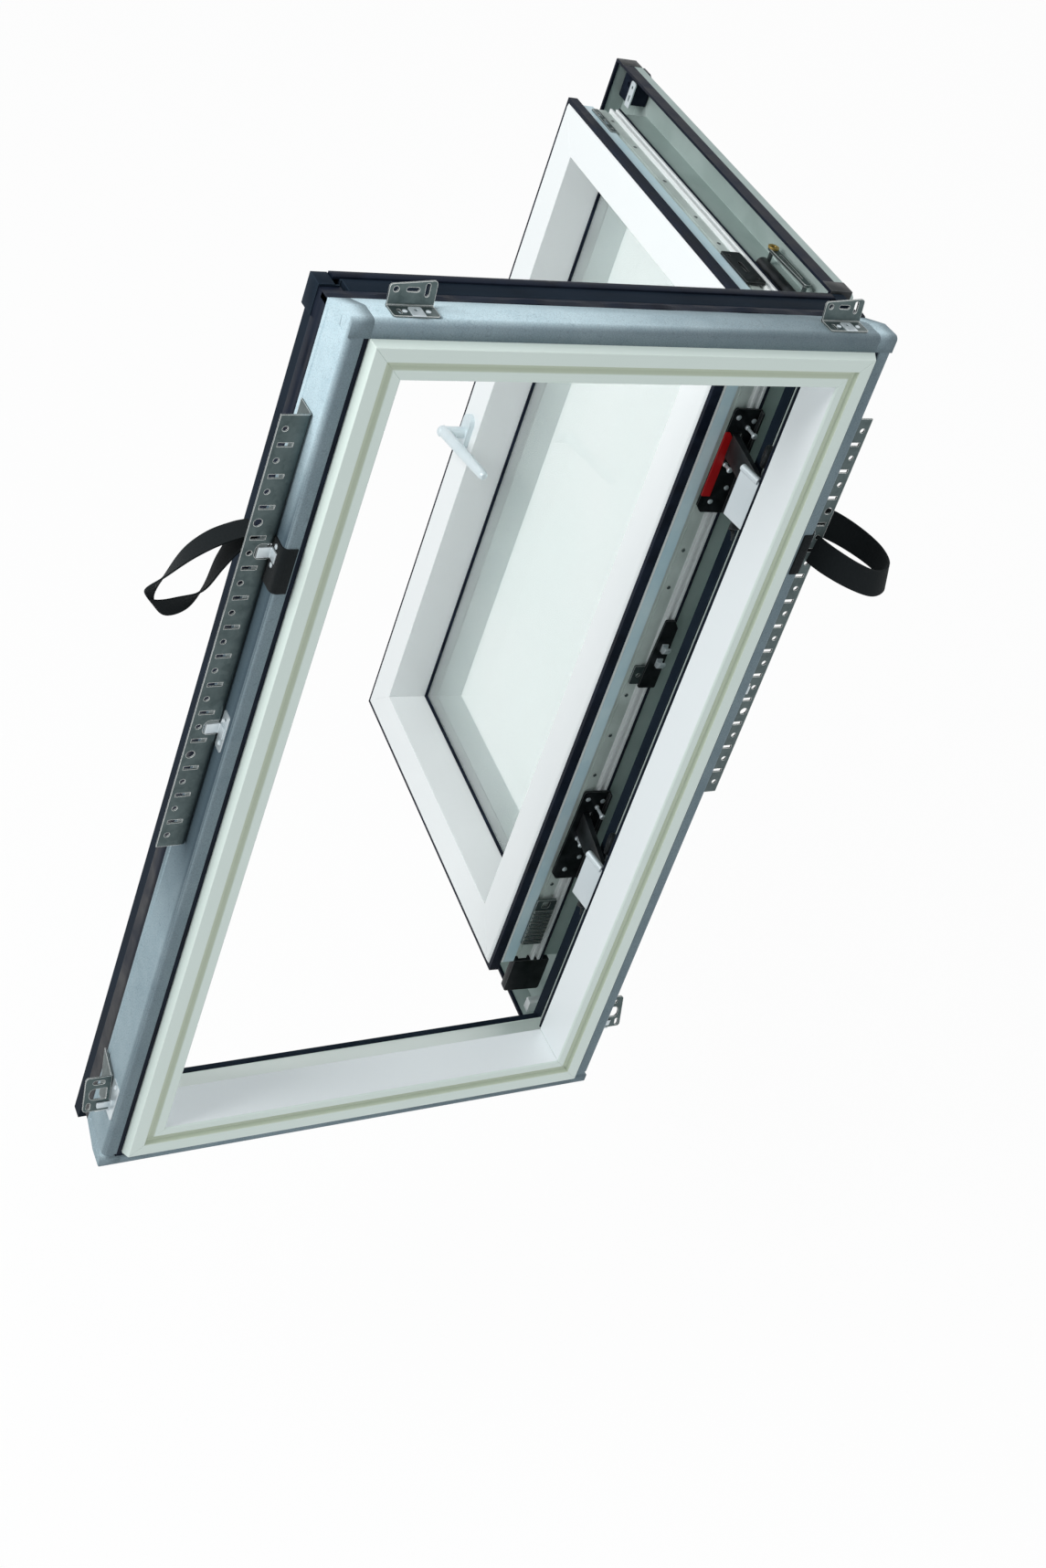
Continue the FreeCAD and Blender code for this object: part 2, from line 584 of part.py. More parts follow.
# double glazing between a seal and the cover
GLASS_WIDTH = "(%s - 2 * (sash_face - glass_bite))" % SASH_WIDTH
GLASS_HEIGHT = "(%s - 2 * (sash_face - glass_bite))" % SASH_HEIGHT
for label, depth in (("glass_pane_inner", "sash_reveal"), ("glass_pane_outer", "sash_reveal + pane + pane_gap")):
    name = "Pane" + label[-5:].title()
    body = new_body(name)
    outline = new_sketch(body, name + "Outline", "XZ_Plane")
    rectangle(outline, "-%s / 2" % GLASS_WIDTH, "-%s / 2" % GLASS_HEIGHT,
              "%s / 2" % GLASS_WIDTH, "%s / 2" % GLASS_HEIGHT)
    pad(body, outline, "pane", back=True)
    keep(body, label, spot(0, "sash_seat + " + depth, 0), SASH_OPEN)
spacer = ring("GlassSpacer", GLASS_WIDTH + " - 2 * spacer_inset", GLASS_HEIGHT + " - 2 * spacer_inset",
              "spacer_width", "pane_gap")
keep(spacer, "glass_spacer", spot(0, "sash_seat + sash_reveal + pane", 0), SASH_OPEN)
inner_seal = ring("GlazingSeal", GLASS_WIDTH, GLASS_HEIGHT, "glass_bite", "glazing_seal")
keep(inner_seal, "glazing_seal", spot(0, "sash_seat + sash_reveal - glazing_seal", 0), SASH_OPEN)

# folded metal cover over the outdoor side of the sash
def cover_member(name, length, reach, low_run, high_run):
    """Open channel of sheet: side wall, bevel, outer wall and a lip down to the glass."""
    skin = "cover_sheet"
    band = "(%s + sash_face)" % reach
    outer = "sash_depth + cover_sheet"
    bevel = "cover_bevel * (%s) / cover_side" % reach
    glass = "sash_reveal + 2 * pane + pane_gap"
    profile = [
        ("cover_start", "0"),
        ("cover_bevel_start", "0"),
        (outer, bevel),
        (outer, band),
        (glass, band),
        (glass, "%s - %s" % (band, skin)),
        ("sash_depth", "%s - %s" % (band, skin)),
        ("sash_depth", "%s + %s * 0.6" % (bevel, skin)),
        ("cover_bevel_start", skin),
        ("cover_start", skin),
    ]
    return mitred_bar(name, profile, length, band, low_run, high_run)


COVER_REACH = {"bottom": "cover_bottom", "left": "cover_side", "top": "cover_top", "right": "cover_side"}
COVER_WIDTH = "(%s + 2 * cover_side)" % SASH_WIDTH
COVER_HEIGHT = "(%s + cover_top + cover_bottom)" % SASH_HEIGHT

COVER_RISE = "(cover_top - cover_bottom) / 2"
COVER_EDGE = {
    "bottom": ("0", "-%s / 2 - cover_bottom" % SASH_HEIGHT),
    "left": ("-%s / 2 - cover_side" % SASH_WIDTH, COVER_RISE),
    "top": ("0", "%s / 2 + cover_top" % SASH_HEIGHT),
    "right": ("%s / 2 + cover_side" % SASH_WIDTH, COVER_RISE),
}
for side, turn in SIDES.items():
    if side in ("bottom", "top"):
        length = COVER_WIDTH
        low_run = high_run = "(cover_side + sash_face)"
    else:
        length = COVER_HEIGHT
        low_run, high_run = "(cover_top + sash_face)", "(cover_bottom + sash_face)"
        if side == "right":
            low_run, high_run = high_run, low_run
    member = cover_member("Cover" + side.title(), length, COVER_REACH[side], low_run, high_run)
    place = spot(COVER_EDGE[side][0], "sash_seat", COVER_EDGE[side][1], turn)
    keep(member, "cover_" + SASH_NAMES[side], place, SASH_OPEN)

# handle on the free stile: oval rose, neck and lever
HANDLE_X = "-%s / 2 + sash_face / 2" % SASH_WIDTH
rose = new_body("HandleRose")
rose_sketch = new_sketch(rose, "RoseOutline", "XZ_Plane")
rectangle(rose_sketch, "-rose_width / 2", "-rose_height / 2", "rose_width / 2", "rose_height / 2")
rose_pad = pad(rose, rose_sketch, "rose_thickness")
doc.recompute()
keep(rose, "handle_rose", spot(HANDLE_X, "sash_seat"), SASH_OPEN)

lever = new_body("HandleLever")
neck_sketch = new_sketch(lever, "NeckOutline", "XZ_Plane")
circle(neck_sketch, "0", "0", "lever_neck")
pad(lever, neck_sketch, "lever_rise - rose_thickness")
grip_sketch = new_sketch(lever, "GripOutline", "YZ_Plane", "-lever_diameter / 2")
circle(grip_sketch, "-(lever_rise - rose_thickness)", "0", "lever_diameter")
pad(lever, grip_sketch, "lever_length + lever_diameter / 2")
lever_place = spot(HANDLE_X, "sash_seat - rose_thickness", 0, -mm("lever_tilt"))
keep(lever, "handle_lever", lever_place, SASH_OPEN)

# hinges: a plate in the channel of the hinge stile, an arm and a base on the jamb
STILE_X = "%s / 2" % SASH_WIDTH
for level in ("upper", "lower"):
    plate = new_body("HingePlate" + level.title())
    outline = new_sketch(plate, plate.Name + "Outline", "YZ_Plane")
    rectangle(outline, "hinge_plate_start", "-hinge_plate_height / 2",
              "hinge_plate_start + hinge_plate_width", "hinge_plate_height / 2")
    pad(plate, outline, "hinge_plate_sheet")
    keep(plate, "hinge_plate_" + level,
         spot(STILE_X, "sash_seat", "hinge_%s_centre" % level), SASH_OPEN)

marker = new_body("HingeMarker")
marker_sketch = new_sketch(marker, "MarkerOutline", "YZ_Plane")
rectangle(marker_sketch, "hinge_plate_start + 4", "-marker_height / 2",
          "hinge_plate_start + 4 + marker_width", "marker_height / 2")
pad(marker, marker_sketch, "marker_thickness")
keep(marker, "hinge_marker", spot(STILE_X + " + hinge_plate_sheet", "sash_seat",
                                  "hinge_upper_centre - 12"), SASH_OPEN)

# catch half way up and the corner drive of the lock at the bottom of the hinge stile
catch = new_body("MiddleCatch")
catch_sketch = new_sketch(catch, "CatchOutline", "YZ_Plane")
rectangle(catch_sketch, "channel_start + 12", "-catch_height / 2",
          "channel_start + 12 + catch_width", "catch_height / 2")
pad(catch, catch_sketch, "catch_rise + channel_depth")
keep(catch, "middle_catch", spot(STILE_X + " - channel_depth", "sash_seat", "catch_centre"), SASH_OPEN)

drive = new_body("CornerDrive")
drive_sketch = new_sketch(drive, "DriveOutline", "YZ_Plane")
rectangle(drive_sketch, "channel_start + 6", "0", "channel_start + 6 + drive_width", "drive_height")
pad(drive, drive_sketch, "drive_rise + channel_depth")
keep(drive, "corner_drive", spot(STILE_X + " - channel_depth", "sash_seat", "-%s / 2" % SASH_HEIGHT), SASH_OPEN)

# hinge arms bridge from the plate on the open sash to the rear slope of the jamb
SLOPE_RISE = mm("frame_depth - rear_lip_height - reveal_depth - ridge_drop")
SLOPE_RUN = mm("frame_face - ridge_width - rear_lip_width")
SLOPE_NORMAL = FreeCAD.Vector(-SLOPE_RISE, SLOPE_RUN, 0).normalize()


def jamb_slope(inward):
    """Point on the rear slope of the hinge jamb, a seating gap off its surface."""
    rise = (mm("frame_face - ridge_width") - inward) * SLOPE_RISE / SLOPE_RUN
    on_slope = FreeCAD.Vector(mm("frame_width / 2") - inward, mm("reveal_depth + ridge_drop") + rise, 0)
    return on_slope + SLOPE_NORMAL * mm("seat_gap")


def plate_face(depth):
    """Point on the face of the hinge plates of the open sash, a seating gap off it."""
    return SASH_OPEN.multVec(FreeCAD.Vector(mm(STILE_X + " + hinge_plate_sheet + seat_gap"), depth, 0))


for level in ("upper", "lower"):
    near = mm("hinge_arm_inset")
    deep = mm("sash_seat + hinge_arm_depth")
    thick = mm("hinge_arm_sheet")
    outline = Part.makePolygon([
        jamb_slope(near), jamb_slope(near - thick), plate_face(deep + thick), plate_face(deep),
        jamb_slope(near),
    ])
    arm = doc.addObject("Part::Feature", "HingeArm" + level.title())
    tall = FreeCAD.Vector(0, 0, mm("hinge_arm_height"))
    arm.Shape = Part.Face(outline).extrude(tall)
    keep(arm, "hinge_arm_" + level, spot(0, 0, "hinge_%s_centre - hinge_arm_height / 2" % level))

# the zero point moves to the contact face of the left mounting rail
ORIGIN = FreeCAD.Vector(-mm(RAIL_FACE + " + rail_flange / 2"), mm("rail_seat"), mm("rail_centre"))
for piece in PIECES:
    piece.Placement.Base = piece.Placement.Base - ORIGIN
doc.recompute()

for item in doc.Objects:
    if "Invalid" in item.State or "Error" in item.State:
        raise RuntimeError("failed: " + item.Label)
for piece in PIECES:
    if piece.Shape.isNull() or not piece.Shape.isValid():
        raise RuntimeError("bad shape: " + piece.Label)
for piece in PIECES:
    piece.Shape.exportStep("parts/%s.step" % piece.Label)
print(len(PIECES), "pieces")
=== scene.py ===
# %% [markdown]
# A side-hung roof window with its sash swung open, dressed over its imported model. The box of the
# bare model is kept, because the dressed one may not outgrow it.

# %% Load the frame
import bmesh
import bpy
import json
import math
from mathutils import Matrix, Vector


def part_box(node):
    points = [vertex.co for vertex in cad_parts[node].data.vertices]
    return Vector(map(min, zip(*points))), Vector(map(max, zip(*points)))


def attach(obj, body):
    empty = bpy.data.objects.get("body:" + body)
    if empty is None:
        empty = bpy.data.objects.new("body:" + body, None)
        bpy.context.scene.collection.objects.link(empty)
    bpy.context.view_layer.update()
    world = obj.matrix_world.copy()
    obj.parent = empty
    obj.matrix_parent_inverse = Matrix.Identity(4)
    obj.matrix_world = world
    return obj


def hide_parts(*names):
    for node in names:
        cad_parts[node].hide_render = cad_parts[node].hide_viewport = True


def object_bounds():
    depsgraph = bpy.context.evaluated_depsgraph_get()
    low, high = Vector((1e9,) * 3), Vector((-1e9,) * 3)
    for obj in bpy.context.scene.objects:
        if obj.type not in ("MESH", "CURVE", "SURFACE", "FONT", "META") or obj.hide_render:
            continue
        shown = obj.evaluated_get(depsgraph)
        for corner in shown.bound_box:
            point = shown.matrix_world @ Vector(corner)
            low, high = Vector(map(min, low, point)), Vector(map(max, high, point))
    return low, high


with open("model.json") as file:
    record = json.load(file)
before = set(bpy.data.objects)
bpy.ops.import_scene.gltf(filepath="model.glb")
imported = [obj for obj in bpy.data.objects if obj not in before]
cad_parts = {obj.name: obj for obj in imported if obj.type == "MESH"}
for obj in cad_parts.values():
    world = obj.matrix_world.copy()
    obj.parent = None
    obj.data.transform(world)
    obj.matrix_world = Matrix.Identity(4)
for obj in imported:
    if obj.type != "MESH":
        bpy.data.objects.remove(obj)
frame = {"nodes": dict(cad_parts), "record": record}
model_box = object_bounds()
nodes = frame["nodes"]
print(len(nodes), "nodes, box", model_box)

# %% [markdown]
# The white frame is the datum for nearly everything that is added, so its corners are read once and
# given plain names. X runs to the right seen from the room, Y points outdoors and Z up.

# %% Places taken from the frame
room_low, _ = (Vector(corner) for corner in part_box("frame_member_bottom"))
_, room_high = (Vector(corner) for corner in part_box("frame_member_top"))
FRAME_MIDDLE = Vector(((room_low.x + room_high.x) / 2, room_low.y, (room_low.z + room_high.z) / 2))
FRAME_HALF_WIDTH = (room_high.x - room_low.x) / 2
FRAME_HALF_HEIGHT = (room_high.z - room_low.z) / 2
print("frame", round(2 * FRAME_HALF_WIDTH, 4), "x", round(2 * FRAME_HALF_HEIGHT, 4))

# %% [markdown]
# Node trees are long to write by hand. Short helpers keep each finish readable: one adds a node and
# fills its sockets, three do sums with numbers and with vectors, two read a place and one of its parts,
# and three open, close and place a reusable group with named sockets.

# %% Helpers for node trees
def add(tree, kind, sockets=None, **settings):
    """Adds a node; a socket given another node's output is linked, any other value is set."""
    node = tree.nodes.new(kind)
    for name, value in settings.items():
        setattr(node, name, value)
    for key, value in (sockets or {}).items():
        if isinstance(value, bpy.types.NodeSocket):
            tree.links.new(value, node.inputs[key])
        else:
            node.inputs[key].default_value = value
    return node


def sum_of(tree, operation, first, second=0.0, clamp=False):
    return add(tree, "ShaderNodeMath", {0: first, 1: second}, operation=operation,
               use_clamp=clamp).outputs[0]


def times(tree, first, second, clamp=False):
    return sum_of(tree, "MULTIPLY", first, second, clamp)


def vectors(tree, operation, first, second=(0.0, 0.0, 0.0)):
    return add(tree, "ShaderNodeVectorMath", {0: first, 1: second}, operation=operation)


def object_place(tree):
    return add(tree, "ShaderNodeTexCoord").outputs["Object"]


def part_of(tree, vector, axis):
    return add(tree, "ShaderNodeSeparateXYZ", {0: vector}).outputs[axis]


def open_group(name, inputs, outputs):
    """Starts a shader group; returns its tree and the sockets that carry its inputs."""
    tree = bpy.data.node_groups.new(name, "ShaderNodeTree")
    for socket, value in inputs.items():
        kind = "NodeSocketVector" if isinstance(value, tuple) else "NodeSocketFloat"
        tree.interface.new_socket(socket, in_out="INPUT", socket_type=kind).default_value = value
    for socket in outputs:
        tree.interface.new_socket(socket, in_out="OUTPUT", socket_type="NodeSocketFloat")
    return tree, tree.nodes.new("NodeGroupInput").outputs


def close_group(tree, **results):
    end = tree.nodes.new("NodeGroupOutput")
    for name, value in results.items():
        tree.links.new(value, end.inputs[name.replace("_", " ").capitalize()])
    print("group", tree.name, "gives", ", ".join(results))
    return tree


def place_group(tree, group, **values):
    """Puts a group in a material with values of its own; returns its outputs."""
    return add(tree, "ShaderNodeGroup", {key.replace("_", " ").capitalize(): value
                                         for key, value in values.items()}, node_tree=group).outputs


# %% [markdown]
# Four effects return in most of the finishes: a fine grain, a painted highlight along edges, soft
# smears from handling, and the long scratches of rolled sheet. Each is one group, built once and given
# its own size in each material, so that a change to the effect reaches all of them.

# %% Grain and smears
def grain_group():
    tree, given = open_group("Grain", {"Size": 0.002, "Stretch": (1.0, 1.0, 1.0)}, ["Tone", "Height"])
    place = object_place(tree)
    scaled = vectors(tree, "MULTIPLY", place, given["Stretch"]).outputs[0]
    scale = sum_of(tree, "DIVIDE", 1.0, given["Size"])
    coarse = add(tree, "ShaderNodeTexNoise", {"Vector": scaled, "Scale": scale, "Detail": 3.0,
                                              "Roughness": 0.6})
    fine = add(tree, "ShaderNodeTexNoise", {"Vector": scaled, "Scale": times(tree, scale, 3.7)})
    mixed = sum_of(tree, "ADD", times(tree, coarse.outputs["Fac"], 0.6),
                   times(tree, fine.outputs["Fac"], 0.4))
    return close_group(tree, tone=mixed, height=coarse.outputs["Fac"])


def smear_group():
    tree, given = open_group("Smears", {"Size": 0.08, "Contrast": 0.6}, ["Smear"])
    place = object_place(tree)
    scale = sum_of(tree, "DIVIDE", 1.0, given["Size"])
    cloud = add(tree, "ShaderNodeTexNoise", {"Vector": place, "Scale": scale, "Detail": 5.0,
                                             "Distortion": 0.6})
    centred = sum_of(tree, "SUBTRACT", cloud.outputs["Fac"], 0.5)
    spread = times(tree, centred, times(tree, given["Contrast"], 3.0))
    return close_group(tree, smear=sum_of(tree, "ADD", spread, 0.5, clamp=True))


GRAIN = grain_group()
SMEARS = smear_group()


# %% Lit edges and rolled sheet
def edge_highlight_group():
    # Painted highlight: a mask along the bends of edges, broken up by noise, which the finishes lighten.
    tree, given = open_group("Edges", {"Radius": 0.001, "Break up": 0.5}, ["Edge"])
    bevel = add(tree, "ShaderNodeBevel", {"Radius": given["Radius"]}, samples=6)
    true_normal = add(tree, "ShaderNodeNewGeometry").outputs["True Normal"]
    straight = vectors(tree, "DOT_PRODUCT", bevel.outputs[0], true_normal)
    bend = sum_of(tree, "SUBTRACT", 1.0, straight.outputs["Value"])
    place = object_place(tree)
    highlight_breakup = add(tree, "ShaderNodeTexNoise", {"Vector": place, "Scale": 180.0, "Detail": 4.0}).outputs["Fac"]
    kept = sum_of(tree, "SUBTRACT", 1.0, times(tree, highlight_breakup, given["Break up"]))
    strong = times(tree, bend, 9.0)
    return close_group(tree, edge=times(tree, strong, kept, clamp=True))


def rolled_group():
    tree, given = open_group("Rolled sheet", {"Streaks": (1.0, 1.0, 1.0), "Crystal": 0.006},
                             ["Streak", "Spangle"])
    place = object_place(tree)
    along = vectors(tree, "MULTIPLY", place, given["Streaks"]).outputs[0]
    streak = add(tree, "ShaderNodeTexNoise", {"Vector": along, "Scale": 900.0, "Detail": 2.0}).outputs["Fac"]
    scale = sum_of(tree, "DIVIDE", 1.0, given["Crystal"])
    cells = add(tree, "ShaderNodeTexVoronoi", {"Vector": place, "Scale": scale})
    tint = add(tree, "ShaderNodeSeparateColor", {"Color": cells.outputs["Color"]}).outputs["Red"]
    return close_group(tree, streak=streak, spangle=tint)


EDGE_HIGHLIGHTS = edge_highlight_group()
ROLLED = rolled_group()

# %% [markdown]
# Every finish ends in one Principled shader. This helper starts the material, sets the sockets that
# stay the same all over, and leaves colour, roughness and normal to be linked. Two colours are blended
# by a mask often enough for a helper of its own.

# %% Starting a finish
FINISHES = {}


def start_finish(slot, **fixed):
    """New material for a slot; returns its tree and its Principled shader."""
    material = bpy.data.materials.new(slot)
    material.use_nodes = True
    shader = material.node_tree.nodes["Principled BSDF"]
    for name, value in fixed.items():
        shader.inputs[name.replace("_", " ")].default_value = value
    FINISHES[slot] = material
    return material.node_tree, shader


def blend(tree, mask, first, second):
    """Colour `first` where the mask is 0 and `second` where it is 1."""
    node = add(tree, "ShaderNodeMix", {"Factor": mask}, data_type="RGBA")
    for key, value in (("A_Color", first), ("B_Color", second)):
        socket = [item for item in node.inputs if item.identifier == key][0]
        if isinstance(value, bpy.types.NodeSocket):
            tree.links.new(value, socket)
        else:
            socket.default_value = (*value, 1.0)
    return [item for item in node.outputs if item.identifier == "Result_Color"][0]


def between(tree, value, low, high, to_low=0.0, to_high=1.0):
    """Carries the range low to high over to another range, held at its ends."""
    return add(tree, "ShaderNodeMapRange", {"Value": value, "From Min": low, "From Max": high,
                                            "To Min": to_low, "To Max": to_high}).outputs["Result"]


def join(tree, shader, **results):
    for name, value in results.items():
        tree.links.new(value, shader.inputs[name.replace("_", " ")])


def bump(tree, height, strength, distance=0.001):
    return add(tree, "ShaderNodeBump", {"Height": height, "Strength": strength,
                                        "Distance": distance}).outputs[0]


# %% [markdown]
# The frame and sash are welded from extruded vinyl. It is a pale, slightly green white with a silky
# skin. Down in the lining groove a painted yellow tint stands in for the light that bounces between the
# walls; it follows the distance from the frame's outer edge, worked out from Object coordinates: the
# lesser of the distances to the two nearest sides. The reveal behind the face is painted whiter, a
# painted highlight, and the edges carry a painted highlight too.

# %% Vinyl of the frame
GROOVE_START = 0.0215
GROOVE_END = 0.0305
OLIVE_REACH = 0.0015
REVEAL_START = 0.0434


def frame_inset(tree):
    """Distance in from the outer edge of the frame, in metres."""
    place = object_place(tree)
    centred = vectors(tree, "SUBTRACT", place, FRAME_MIDDLE).outputs[0]
    size = vectors(tree, "ABSOLUTE", centred).outputs[0]
    parts = add(tree, "ShaderNodeSeparateXYZ", {0: size})
    across = sum_of(tree, "SUBTRACT", FRAME_HALF_WIDTH, parts.outputs["X"])
    upright = sum_of(tree, "SUBTRACT", FRAME_HALF_HEIGHT, parts.outputs["Z"])
    return sum_of(tree, "MINIMUM", across, upright), parts.outputs["Y"]


def vinyl(slot, pale, shade, groove=None):
    tree, shader = start_finish(slot, Coat_Weight=0.15, Coat_Roughness=0.2)
    grain = place_group(tree, GRAIN, size=0.0012)
    smear = place_group(tree, SMEARS, size=0.12, contrast=0.5)["Smear"]
    edge = place_group(tree, EDGE_HIGHLIGHTS, radius=0.0012, break_up=0.1)["Edge"]
    colour = blend(tree, times(tree, smear, 0.35), pale, shade)
    if groove:
        inset, depth = frame_inset(tree)
        # Painted bounce light: a yellow tint down in the lining groove.
        rise = between(tree, inset, GROOVE_START - OLIVE_REACH, GROOVE_START)
        fall = between(tree, inset, GROOVE_END, GROOVE_END + OLIVE_REACH, 1.0, 0.0)
        front = between(tree, depth, 0.02, 0.03, 1.0, 0.0)
        band = times(tree, times(tree, rise, fall), front)
        colour = blend(tree, times(tree, band, 0.6), colour, groove)
        # Painted highlight: the reveal faces are painted whiter.
        reveal_highlight = times(tree, between(tree, inset, REVEAL_START - 0.0001, REVEAL_START + 0.0002),
                       between(tree, depth, 0.0025, 0.0045))
        colour = blend(tree, reveal_highlight, colour, (0.92, 0.97, 0.98))
    # Painted highlight: edges are lightened towards near white.
    colour = blend(tree, times(tree, edge, 0.25), colour, (0.93, 0.95, 0.94))
    rough = between(tree, smear, 0.0, 1.0, 0.3, 0.42)
    join(tree, shader, Base_Color=colour, Roughness=rough, Normal=bump(tree, grain["Height"], 0.05))


vinyl("white_plastic", (0.72, 0.82, 0.77), (0.64, 0.75, 0.69), groove=(0.45, 0.50, 0.33))
vinyl("sash_plastic", (0.86, 0.89, 0.89), (0.80, 0.85, 0.85))

# %% [markdown]
# The insulation collar is moulded bead foam. Beads of three millimetres are pressed flat against the
# mould, so the skin shows small cells with dark seams and a fine speckle. A painted shade darkens the
# front edge, and another painted shade darkens the side faces of the side blocks, lifting near their
# top and bottom ends.

# %% Bead foam
BEAD = 0.0032
FOAM_FACE = 0.011
FRONT_SHADE_FADE = 0.008
SIDE_SHADE_LEVELS = (-0.25, -0.1, 0.34, 0.48)


def foam():
    tree, shader = start_finish("foam", Roughness=0.75, Specular_IOR_Level=0.12)
    place = object_place(tree)
    cells = add(tree, "ShaderNodeTexVoronoi", {"Vector": place, "Scale": 1 / BEAD, "Randomness": 1.0})
    seams = add(tree, "ShaderNodeTexVoronoi", {"Vector": place, "Scale": 1 / BEAD, "Randomness": 1.0},
                feature="DISTANCE_TO_EDGE")
    tint = add(tree, "ShaderNodeSeparateColor", {"Color": cells.outputs["Color"]}).outputs["Green"]
    grain = place_group(tree, GRAIN, size=0.0011)
    smear = place_group(tree, SMEARS, size=0.05, contrast=0.7)["Smear"]
    base = blend(tree, smear, (0.38, 0.51, 0.565), (0.52, 0.66, 0.71))
    beads = blend(tree, times(tree, tint, 0.35), base, (0.50, 0.61, 0.66))
    speckled = blend(tree, between(tree, grain["Tone"], 0.5, 0.68, 0.0, 0.5), beads, (0.60, 0.70, 0.74))
    seam = between(tree, seams.outputs["Distance"], 0.0, 0.08, 0.35, 0.0)
    seamed = blend(tree, seam, speckled, (0.11, 0.15, 0.18))
    depth = part_of(tree, place, "Y")
    # Painted shade: the foam's front edge is darkened over its first few millimetres of depth.
    front_shade = between(tree, depth, room_low.y + FOAM_FACE, room_low.y + FOAM_FACE + FRONT_SHADE_FADE, 0.6, 0.0)
    # Painted shade: faces that point sideways are darkened; the high and low ramps lift it near the top and
    # bottom.
    facing = add(tree, "ShaderNodeNewGeometry").outputs["True Normal"]
    sideways = sum_of(tree, "ABSOLUTE", part_of(tree, facing, "X"))
    level = part_of(tree, place, "Z")
    low_start, low_end, high_start, high_end = (FRAME_MIDDLE.z + step for step in SIDE_SHADE_LEVELS)
    high = between(tree, level, high_start, high_end)
    low = between(tree, level, low_start, low_end, 0.52, 0.0)
    side_shade = times(tree, between(tree, sideways, 0.5, 0.85),
                 sum_of(tree, "SUBTRACT", 0.88, sum_of(tree, "MAXIMUM", high, low), clamp=True))
    side_shaded = blend(tree, side_shade, seamed, (0.020, 0.042, 0.060))
    colour = blend(tree, front_shade, side_shaded, (0.020, 0.034, 0.050))
    height = sum_of(tree, "ADD", times(tree, seams.outputs["Distance"], 0.8), grain["Height"])
    join(tree, shader, Base_Color=colour, Normal=bump(tree, height, 0.35, 0.0006))


foam()

# %% [markdown]
# Most other finishes are laid in the same order: a base clouded by smears, a painted highlight along
# edges in a colour of its own, a roughness that follows the smears or the grain, and the grain as relief.
# One function lays them, and each finish says only which layers it has.

# %% Layered finishes
def layered(slot, base, clouded=None, smear=None, grain=None, edge=None, rough=None, relief=None, **fixed):
    """Smear is (size, contrast), grain (size, stretch), edge, a painted highlight, (radius, break-up,
    strength, colour), rough (what it follows, least, most) and relief (strength, distance)."""
    tree, shader = start_finish(slot, **fixed)
    colour, masks, results = base, {}, {}
    if smear:
        cloud = place_group(tree, SMEARS, size=smear[0], contrast=smear[1])["Smear"]
        colour = blend(tree, cloud, base, clouded)
        masks["smear"] = (cloud, 0.0, 1.0)
    if grain:
        given = dict(zip(("size", "stretch"), grain))
        grains = place_group(tree, GRAIN, **given)
        masks["grain"] = (grains["Tone"], 0.3, 0.7)
    if edge:
        radius, break_up, strength, edge_colour = edge
        # Painted highlight: edges are blended towards a lighter colour.
        lit = place_group(tree, EDGE_HIGHLIGHTS, radius=radius, break_up=break_up)["Edge"]
        colour = blend(tree, times(tree, lit, strength), colour, edge_colour)
    if rough:
        results["Roughness"] = between(tree, *masks[rough[0]], *rough[1:])
    if relief:
        results["Normal"] = bump(tree, grains["Height"], *relief)
    join(tree, shader, Base_Color=colour, **results)


BRUSHED = (0.15, 1.0, 1.0)

# %% [markdown]
# Seals are black rubber with a faint blue bloom. The cladding and the sash's cover are lacquered sheet
# with a fine orange peel and a painted highlight along their edges. The handle is satin-anodised, the
# hinges are blackened, and the hinge's slider is red; the satin silver, the blackened steel and the red
# plastic carry painted edge highlights too. The panes carry a faint green from iron in the glass.

# %% Rubber, lacquer, silver, black steel, glass and red plastic
layered("black_rubber", (0.004, 0.006, 0.012), (0.012, 0.018, 0.032), smear=(0.04, 0.8), grain=(0.0015,),
        rough=("smear", 0.3, 0.55), relief=(0.12,), Specular_IOR_Level=0.06)
layered("anthracite", (0.006, 0.011, 0.018), (0.014, 0.022, 0.034), smear=(0.09, 0.7), grain=(0.0035,),
        edge=(0.0009, 0.8, 0.6, (0.06, 0.09, 0.12)), rough=("smear", 0.45, 0.6), relief=(0.06,),
        Specular_IOR_Level=0.02)
layered("cover_metal", (0.34, 0.42, 0.40), (0.46, 0.545, 0.525), smear=(0.09, 0.7), grain=(0.0035,),
        edge=(0.0009, 0.8, 0.6, (0.80, 0.86, 0.88)), rough=("smear", 0.45, 0.6), relief=(0.06,),
        Metallic=0.25, Specular_IOR_Level=0.02)
layered("satin_silver", (0.60, 0.67, 0.70), grain=(0.0006, BRUSHED),
        edge=(0.001, 0.1, 0.5, (0.86, 0.90, 0.92)), rough=("grain", 0.28, 0.4), relief=(0.04, 0.0004),
        Metallic=0.55)
layered("black_steel", (0.006, 0.008, 0.009), (0.022, 0.026, 0.029), smear=(0.02, 0.9), grain=(0.0016,),
        edge=(0.0009, 0.5, 0.6, (0.25, 0.26, 0.26)), rough=("smear", 0.28, 0.5), relief=(0.15, 0.0005),
        Metallic=0.4, Specular_IOR_Level=0.12)
layered("clear_glass", (0.92, 0.975, 0.965), (0.95, 0.985, 0.98), smear=(0.3, 0.5),
        rough=("smear", 0.0, 0.04), Transmission_Weight=0.84, IOR=1.25)
layered("spacer", (0.20, 0.23, 0.235), (0.33, 0.37, 0.375), smear=(0.06, 0.6), grain=(0.001,),
        rough=("grain", 0.35, 0.5), relief=(0.1, 0.0003), Metallic=0.5)
